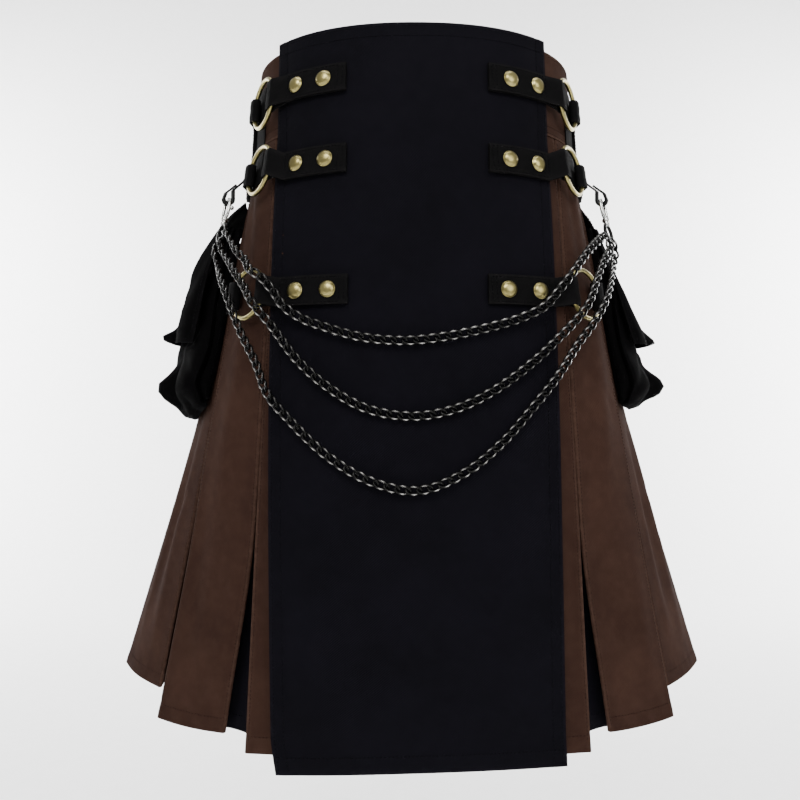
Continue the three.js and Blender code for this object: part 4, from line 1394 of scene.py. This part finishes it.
def strap_piece(name, grid, side, way, *nodes):
    """A sewn strap: stitched along both edges, across its end and in a box beside the eye."""
    cloth = side_cloth(grid, side)
    v = cloth.lengths()[1]
    cloth.edge = np.minimum(v, cloth.length - v)
    padded = 0.00035 * np.exp(-(((cloth.edge - STRAP_PAD) / STRAP_PAD_HALF) ** 2))
    groove = 0.00025 * np.exp(-(((cloth.edge - STRAP_STITCH) / STRAP_GROOVE_HALF) ** 2))
    cloth.raise_by(padded - groove)
    obj = keep(cloth_mesh(name, cloth, STRAP_BLACK, STRAP_PLY - 0.0001), "black_strap", *nodes)
    ply = float(np.abs(cloth.u[0, PLY_COLUMNS - 1] - cloth.u[0, 0]))
    half = float(cloth.width[0]) / 2
    if way * side < 0:
        start, end = -half + STRAP_STITCH, -half + ply - STRAP_STITCH
        crossings = (start, start + BOX_END, end, end - BOX_EYE)
    else:
        start, end = half - ply + STRAP_STITCH, half - STRAP_STITCH
        crossings = (end, end - BOX_END, start, start + BOX_EYE)
    edges = (STRAP_STITCH, cloth.length - STRAP_STITCH)
    rows = [cloth.line_across(inset, start, end, FINE_STEP) for inset in edges]
    for place in crossings:
        if start - 1e-6 <= place <= end + 1e-6:
            rows.append([cloth.at(row, cloth.column_of(row, place)) for row in BOX_ROWS])
    sewn = sew(f"{name}_stitches", rows, "black_strap", STRAP_PLY / 2)
    state_sheet(cloth, [sewn])


def make_straps():
    for number, row in enumerate(ROWS, 1):
        grid = eyed_strap(row["end"], strap_low(row["z"]), row["z"], STRAP_HEIGHT, ring_frame(row), -1)
        for side, word in SIDES:
            strap_piece(f"strap_{word}_{number}", grid, side, -1, f"apron_strap_{word}_{number}")
    low_row = ROWS[2]
    grid = eyed_strap(HIP_STRAP_END, HIP_STRAP_OFF, low_row["ring_z"], STRAP_HEIGHT, ring_frame(low_row), 1)
    for side, word in SIDES:
        strap_piece(f"hip_strap_cloth_{word}", grid, side, 1, f"hip_strap_{word}")
    for number, row in enumerate(ROWS[:2], 1):
        grid = eyed_strap(TAB_FRONT + TAB_LAP, TAB_EYE_OFF, row["ring_z"], TAB_EYE_HEIGHT, ring_frame(row), 1)
        for side, word in SIDES:
            strap_piece(f"hip_tab_eye_{word}_{number}", grid, side, 1)


TAB_ROWS = 24
TAB_COLUMNS = 14
TAB_STITCH = 0.003


def tab_grid(front, rear, off):
    grid = []
    for z in np.linspace(TAB_TOP, TAB_BOTTOM, TAB_ROWS):
        line = skin_line(z)
        grid.append([(*skin_point(line, s, off), z) for s in np.linspace(front, rear, TAB_COLUMNS)])
    return grid


def make_tab_base(side, word):
    """The single ply under a hip tab, which reaches forward behind the rings."""
    cloth = side_cloth(tab_grid(TAB_BASE_FRONT, TAB_FRONT + TAB_LAP, TAB_BASE_OFF), side)
    return keep(cloth_mesh(f"hip_tab_base_{word}", cloth, STRAP_BLACK, STRAP_PLY - 0.0002), "black_strap")


def make_hip_tabs():
    grid = tab_grid(TAB_FRONT, TAB_REAR, TAB_OFF)
    for side, word in SIDES:
        cloth = side_cloth(grid, side)
        u, v = cloth.lengths()
        cloth.edge = np.minimum(cloth.edge, np.minimum(v, cloth.length - v))
        seed = TAB_SEED + side
        relief = waves(u, v, seed, TAB_SWELL) + pucker(u + v, cloth.edge, seed + 2, height=0.0003)
        cloth.raise_by(relief)
        tab = cloth_mesh(f"hip_tab_cloth_{word}", cloth, STRAP_BLACK, 2 * STRAP_PLY)
        keep(tab, "black_strap", f"hip_tab_{word}")
        ends = (TAB_STITCH, cloth.length - TAB_STITCH)
        half = float(cloth.width[0]) / 2 - TAB_STITCH
        rows = [cloth.line_down(TAB_STITCH, edge, *ends) for edge in (-1, 1)]
        rows += [cloth.line_across(place, -half, half) for place in ends]
        sewn = sew(f"hip_tab_stitches_{word}", rows, "black_strap", STRAP_PLY)
        state_sheet(cloth, [sewn, make_thong(side, word), make_tab_base(side, word)])


# How far above the hook's bar the thong passes: behind it, before it and where it meets itself.
THONG_BEHIND = 0.009
THONG_BEFORE = 0.006
THONG_MEETS = 0.010
# The thong's end, as a share of the step before it, and the points of its turn round the bar.
THONG_TAIL = 0.35
THONG_STEPS = 13


def make_thong(side, word):
    """The thong sewn to the hip tab, down behind the hook's top bar and back up before it."""
    around = HOOK_BAR / 2 + THONG_CLEAR + THONG_THICK / 2
    line = [skin_at(THONG_ROOT_ARC, row["z"], row["off"]) for row in THONG_ROOT]
    top = np.array(HOOK_TOP)
    out = np.array(HOOK_OUT)
    line.append(top - out * around + (0, 0, THONG_BEHIND))
    for t in np.linspace(math.pi, 2 * math.pi, THONG_STEPS):
        line.append(top + out * around * math.cos(t) + np.array([0, 0, around * math.sin(t)]))
    line.append(top + out * around * 0.5 + (0, 0, THONG_BEFORE))
    line.append(top + out * (1.06 * THONG_THICK - around) + (0, 0, THONG_MEETS))
    line.append(line[-1] + (line[2] - line[3]) * THONG_TAIL)
    along = np.array(HOOK_ALONG)
    widths = [THONG_ROOT_WIDTH[side]] * len(THONG_ROOT) + [THONG_WIDTH] * (len(line) - len(THONG_ROOT))
    grid = [[point + along * width * k for k in (-0.5, -0.2, 0.2, 0.5)] for point, width in zip(line, widths)]
    thong = cloth_mesh(f"thong_{word}", side_cloth(grid, side), STRAP_BLACK, THONG_THICK)
    return keep(thong, "black_strap")


# Pockets


def on_pocket_face(z, share, out):
    a, b = fold_point("second_front", z), fold_point("second_rear", z)
    bow = max(0, bow_between("second_front", "second_rear", z) * 4 * share * (1 - share))
    x, y = a + (b - a) * share + outward(unit(b - a)) * (bow + out)
    return (x, y, z)


POCKET_WIDTH = 0.08
POCKET_STEP = 0.0022


def with_rear(columns):
    """Both halves of a pocket's section, and a smooth line through them."""
    front = [(c["share"], c["out"]) for c in columns]
    whole = front + [(1 - share, out) for share, out in front[-2::-1]]
    line, _ = smooth_path([(share * POCKET_WIDTH, out, 0.0) for share, out in whole], POCKET_STEP)
    return [(x / POCKET_WIDTH, out) for x, out, _ in line]


POUCH_ROWS = 52
FLAP_ROWS = 42
POUCH_CREASES = [
    ((-0.055, 0.02), (-0.020, 0.10), 0.006, -0.0030),
    ((-0.020, 0.04), (0.020, 0.07), 0.007, -0.0024),
    ((0.050, 0.03), (0.015, 0.12), 0.006, -0.0030),
    ((-0.030, 0.11), (0.030, 0.125), 0.008, 0.0030),
    ((0.000, 0.12), (-0.045, 0.17), 0.006, -0.0026),
    ((0.010, 0.13), (0.050, 0.165), 0.006, -0.0026),
]
FLAP_CREASES = [
    ((-0.040, 0.02), (-0.012, 0.10), 0.007, -0.0030),
    ((0.000, 0.01), (0.006, 0.09), 0.008, 0.0028),
    ((0.040, 0.03), (0.018, 0.12), 0.007, -0.0030),
    ((-0.030, 0.085), (0.024, 0.100), 0.006, -0.0020),
]


def pocket_grid(levels, columns, rows):
    section = with_rear(columns)
    grid = []
    for z in np.linspace(levels[0]["z"], levels[-1]["z"], rows):
        fill = row_at(levels, z)["fill"]
        spots = [(share, POCKET_OFF + (out - POCKET_OFF) * fill) for share, out in section]
        grid.append([on_pocket_face(z, share, out) for share, out in spots])
    return grid


# Where a pocket's corners stand out: u from the middle (towards the back), v from its top, reach and height.
POUCH_TIPS = {
    1: table(
        "u v reach height",
        (0.014, 0.156, 0.014, 0.016), (0.020, 0.172, 0.014, -0.006),
    ),
    -1: table(
        "u v reach height",
        (0.012, 0.157, 0.008, 0.014), (0.020, 0.125, 0.045, 0.013), (-0.020, 0.176, 0.012, -0.005),
    ),
}
FLAP_TIPS = {
    1: table(
        "u v reach height",
        (0.012, 0.150, 0.018, 0.012), (0.000, 0.060, 0.050, -0.012),
    ),
    -1: table(
        "u v reach height",
        (0.010, 0.149, 0.011, 0.017), (0.010, 0.095, 0.055, 0.013),
    ),
}
# How far the pouch's bottom is drawn up, at its front and at its rear.
POUCH_RISE = {1: (0.012, 0.006), -1: (0.018, -0.002)}


def drawn_up(grid, rise):
    """A pocket's grid with its bottom drawn up, front and rear by their own lengths."""
    grid = np.array(grid)
    down = np.linspace(0, 1, grid.shape[0])
    across = np.linspace(0, 1, grid.shape[1])
    grid[:, :, 2] += np.interp(across, (0, 0.45, 1), (rise[0], rise[1], rise[1])) * down[:, None] ** 3
    return grid


POCKET_STITCH = 0.004


def make_pocket_piece(piece, side, word, grid, creases, tips, seed):
    """A pouch or a flap of one side's pocket."""
    cloth = side_cloth(grid, side)
    u, v = cloth.lengths()
    cloth.edge = np.minimum(cloth.edge, np.minimum(v, cloth.length - v))
    relief = waves(u, v, seed, POCKET_SWELL, (0.06, 0.035))
    relief = add_creases(relief, cloth, creases, seed + 1)
    relief *= np.clip(cloth.edge / 0.012, 0.2, 1)
    for tip in tips:
        away = ((side * u - tip["u"]) ** 2 + (v - tip["v"]) ** 2) / tip["reach"] ** 2
        relief += tip["height"] * np.exp(-(away**0.6))
    relief += pucker(u + v, cloth.edge, seed + 2)
    cloth.raise_by(relief)
    name = f"{piece}_cloth_{word}"
    solid = {"pouch": "pocket", "flap": "pocket_flap"}[piece]
    # The pockets are drawn in the darker, painted-shade copy of the black drill.
    obj = keep(cloth_mesh(name, cloth, SHADED_POCKET_BLACK), "black_cloth", f"{solid}_{word}")
    low = cloth.length - POCKET_STITCH
    rows = [cloth.line_down(POCKET_STITCH, edge, POCKET_STITCH, low) for edge in (-1, 1)]
    rows += [cloth.line_across(low), cloth.line_across(POCKET_STITCH)]
    state_sheet(cloth, [sew(f"{name}_stitches", rows, "black_cloth")])


def make_pockets():
    pouch = pocket_grid(POUCH_LEVELS, POUCH_COLUMNS, POUCH_ROWS)
    flap = pocket_grid(FLAP_LEVELS, FLAP_COLUMNS, FLAP_ROWS)
    for side, word in SIDES:
        risen = drawn_up(pouch, POUCH_RISE[side])
        make_pocket_piece("pouch", side, word, risen, POUCH_CREASES, POUCH_TIPS[side], POUCH_SEED + side)
        make_pocket_piece("flap", side, word, flap, FLAP_CREASES, FLAP_TIPS[side], FLAP_SEED + side)


# Hardware


def settle():
    """Lets the selected form keep its place and turn in its mesh."""
    bpy.ops.object.transform_apply(location=True, rotation=True, scale=True)


def to_place(obj, matrix):
    """Sets a piece modelled at the origin in its place, which then lies in its mesh."""
    obj.matrix_world = matrix
    select_only(obj)
    settle()


def basis(across, way, face, spot):
    return Matrix.Translation(Vector(spot)) @ Matrix((across, way, face)).transposed().to_4x4()


def stand(place, side):
    """The turn of a piece whose axis is Z onto a place of the right side or its mirror."""
    mirror = np.array([side, 1, 1])
    out = Vector(place["out"] * mirror)
    along = Vector(place["along"] * mirror)
    return basis(along, out.cross(along), out, place["spot"] * mirror)


def primitive(add, name, material, **sizes):
    """One of Blender's own forms, made at the origin."""
    bpy.ops.object.select_all(action="DESELECT")
    add(**sizes)
    obj = bpy.context.active_object
    obj.name = name
    obj.data.name = name
    obj.data.materials.append(material)
    return obj


RING_SEGMENTS = {"major_segments": 64, "minor_segments": 16}


def wire_ring(name, radius, wire, material):
    add = bpy.ops.mesh.primitive_torus_add
    obj = primitive(add, name, material, major_radius=radius, minor_radius=wire / 2, **RING_SEGMENTS)
    bpy.ops.object.shade_smooth()
    return obj


def make_rings():
    for number, row in enumerate(ROWS, 1):
        for side, word in SIDES:
            obj = wire_ring(f"brass_ring_{word}_{number}", RING_RADIUS, RING_WIRE, BRASS)
            to_place(obj, stand(ring_frame(row), side))
            keep(obj, "brass", f"ring_{word}_{number}")


# The stud's rim and dome: share of the radius and share of the height.
STUD_PROFILE = table(
    "radius height",
    (0.92, 0.0), (1.0, 0.12), (1.0, 0.22), (0.93, 0.27), (0.90, 0.38), (0.80, 0.62), (0.62, 0.82),
    (0.36, 0.96), (0.12, 1.0),
)


STUD_SIDES = 32


def domed_stud(name):
    foot = STUD_RADIUS * STUD_PROFILE[0]["radius"]
    add = bpy.ops.mesh.primitive_circle_add
    obj = primitive(add, name, BRASS, vertices=STUD_SIDES, radius=foot, fill_type="NGON")
    edit_whole()
    for before, after in zip(STUD_PROFILE, STUD_PROFILE[1:]):
        rise = (after["height"] - before["height"]) * STUD_DOME
        grow = after["radius"] / before["radius"]
        bpy.ops.mesh.extrude_region_move(TRANSFORM_OT_translate={"value": (0, 0, rise)})
        bpy.ops.transform.resize(value=(grow, grow, 1))
    face_outward()
    bpy.ops.object.shade_smooth()
    return obj


STUD_LIFT = 0.0002


def make_studs():
    for number, row in enumerate(ROWS, 1):
        for place_name in ("inner", "outer"):
            place = frame_at(row[place_name], row["z"], strap_top(row["z"]) + STUD_LIFT)
            for side, word in SIDES:
                obj = domed_stud(f"brass_stud_{word}_{number}_{place_name}")
                to_place(obj, stand(place, side))
                keep(obj, "brass", f"stud_{word}_{number}_{place_name}")


HOOK_MIDDLE_RADIUS = (HOOK_WIDTH - HOOK_BAR) / 2
LOOP_END = HOOK_LENGTH - HOOK_BAR
LOOP_WIRE = HOOK_BAR * 0.92
THUMB_RADIUS = 0.0021
# The collars and the neck below the loop.
TURNED_PARTS = table(
    "radius length along",
    (0.0033, 0.0030, LOOP_END + 0.0012),
    (0.0021, NECK_LENGTH - 0.0005, LOOP_END + NECK_LENGTH / 2 - NECK_SUNK),
    (0.0029, 0.0024, LOOP_END + NECK_LENGTH - 2.6 * NECK_SUNK),
)
TURNED_SIDES = 24
TURNED_EDGE = 0.3
TURNED_SMOOTH = math.radians(40)


def stretched_loop():
    """The hook's loop: a ring whose lower half is pulled down into two straight sides."""
    loop = wire_ring("loop", HOOK_MIDDLE_RADIUS, LOOP_WIRE, NICKEL)
    bpy.ops.object.mode_set(mode="EDIT")
    bpy.ops.mesh.select_all(action="DESELECT")
    bpy.ops.object.mode_set(mode="OBJECT")
    for vertex in loop.data.vertices:
        vertex.select = vertex.co.y > 1e-5
    bpy.ops.object.mode_set(mode="EDIT")
    bpy.ops.transform.translate(value=(0, HOOK_LENGTH - HOOK_WIDTH, 0))
    bpy.ops.object.mode_set(mode="OBJECT")
    shift_mesh(0, HOOK_MIDDLE_RADIUS, 0)
    return loop


def turned_part(radius, length, along):
    """A round part along the hook, its edges rounded."""
    add = bpy.ops.mesh.primitive_cylinder_add
    place = {"location": (0, along, 0), "rotation": (math.pi / 2, 0, 0)}
    obj = primitive(add, "turned", NICKEL, vertices=TURNED_SIDES, radius=radius, depth=length, **place)
    settle()
    edge = obj.modifiers.new("Edge", "BEVEL")
    edge.width = min(radius, length) * TURNED_EDGE
    edge.segments = 3
    edge.limit_method = "ANGLE"
    apply_modifiers(obj)
    bpy.ops.object.shade_smooth_by_angle(angle=TURNED_SMOOTH)
    return obj


def gate_thumb():
    """The gate's small knob on the side of the loop."""
    add = bpy.ops.mesh.primitive_uv_sphere_add
    place = {"location": (0, HOOK_LENGTH * 0.42, HOOK_BAR * 0.75)}
    obj = primitive(add, "thumb", NICKEL, segments=20, ring_count=12, radius=THUMB_RADIUS, **place)
    shift_mesh(HOOK_MIDDLE_RADIUS, 0, 0)
    settle()
    bpy.ops.object.shade_smooth()
    return obj


def make_hooks():
    for side, word in SIDES:
        parts = [stretched_loop(), gate_thumb(), *(turned_part(**row) for row in TURNED_PARTS)]
        parts.append(wire_ring("gather", GATHER_RADIUS, GATHER_WIRE, GUNMETAL))
        shift_mesh(0, GATHER_DROP, 0)
        for part in parts:
            part.select_set(True)
        hook = parts[0]
        bpy.context.view_layer.objects.active = hook
        bpy.ops.object.join()
        hook.name = f"snap_hook_nickel_{word}"
        hook.data.name = hook.name
        mirror = np.array([side, 1, 1])
        across, way, face = (Vector(np.array(v) * mirror) for v in (HOOK_ACROSS, HOOK_WAY, HOOK_FACE))
        to_place(hook, basis(across * side, way, face, Vector(np.array(HOOK_TOP) * mirror)))
        keep(hook, "steel", f"snap_hook_{word}")


# Stage

FLOOR_Z = -0.98
BACKDROP_FRONT = -3.0
BACKDROP_WALL = 2.6
BACKDROP_TOP = 4.0
BACKDROP_HALF = 6.0
BACKDROP_CURVE = 1.2
CURVE_STEPS = 24


def make_stage():
    """A pale floor that runs up into a pale wall in one curve."""
    material, tree, shader = new_material("pale_paper")
    place = node(tree, "ShaderNodeTexCoord").outputs["Object"]
    grain = noise(tree, place, 40, 3)
    matt(tree, shader, ramp(tree, grain, (0.3, 0.93), (0.7, 0.95)), 0.9, 0.1)
    line = [(BACKDROP_FRONT, FLOOR_Z)]
    for t in np.linspace(0, math.pi / 2, CURVE_STEPS):
        y = BACKDROP_WALL - BACKDROP_CURVE + BACKDROP_CURVE * math.sin(t)
        line.append((y, FLOOR_Z + BACKDROP_CURVE * (1 - math.cos(t))))
    line.append((BACKDROP_WALL, BACKDROP_TOP))
    points = [(x, y, z) for y, z in line for x in (-BACKDROP_HALF, BACKDROP_HALF)]
    faces = [(2 * i, 2 * i + 1, 2 * i + 3, 2 * i + 2) for i in range(len(line) - 1)]
    mesh_object("backdrop", points, faces, material)


OBJECT_MIDDLE = (0, 0, -0.3)
LIGHTS = table(
    "name at size power to",
    ("key", (-0.7, -2.2, 1.6), 1.5, 60, OBJECT_MIDDLE),
    ("glint", (0.2, -1.9, 1.2), 0.5, 9, OBJECT_MIDDLE),
    ("fill", (1.3, -2.1, 0.6), 1.8, 34, OBJECT_MIDDLE),
    ("top", (0.0, 0.2, 2.4), 2.2, 40, OBJECT_MIDDLE),
    ("back_left", (-1.8, 1.7, 0.8), 1.4, 8, OBJECT_MIDDLE),
    ("back_right", (1.8, 1.7, 0.8), 1.4, 8, OBJECT_MIDDLE),
    ("wall_left", (-2.5, 1.3, 0.4), 1.8, 170, (-1.3, 2.6, -0.2)),
    ("wall_right", (2.5, 1.3, 0.4), 1.8, 170, (1.3, 2.6, -0.2)),
)


def make_lights():
    for light in LIGHTS:
        data = bpy.data.lights.new(light["name"], "AREA")
        data.shape = "DISK"
        data.size = light["size"]
        data.energy = light["power"]
        lamp = bpy.data.objects.new(light["name"], data)
        bpy.context.collection.objects.link(lamp)
        lamp.location = light["at"]
        lamp.rotation_euler = (Vector(light["to"]) - lamp.location).to_track_quat("-Z", "Y").to_euler()
    world = bpy.data.worlds.new("studio")
    bpy.context.scene.world = world
    world.use_nodes = True
    glow = world.node_tree.nodes["Background"].inputs
    glow["Color"].default_value = (1, 1, 1, 1)
    glow["Strength"].default_value = 0.6


make_camera()
make_chains()
make_yoke()
make_skirt()
make_insets()
make_apron()
make_straps()
make_hip_tabs()
make_pockets()
make_rings()
make_studs()
make_hooks()
make_stage()
make_lights()
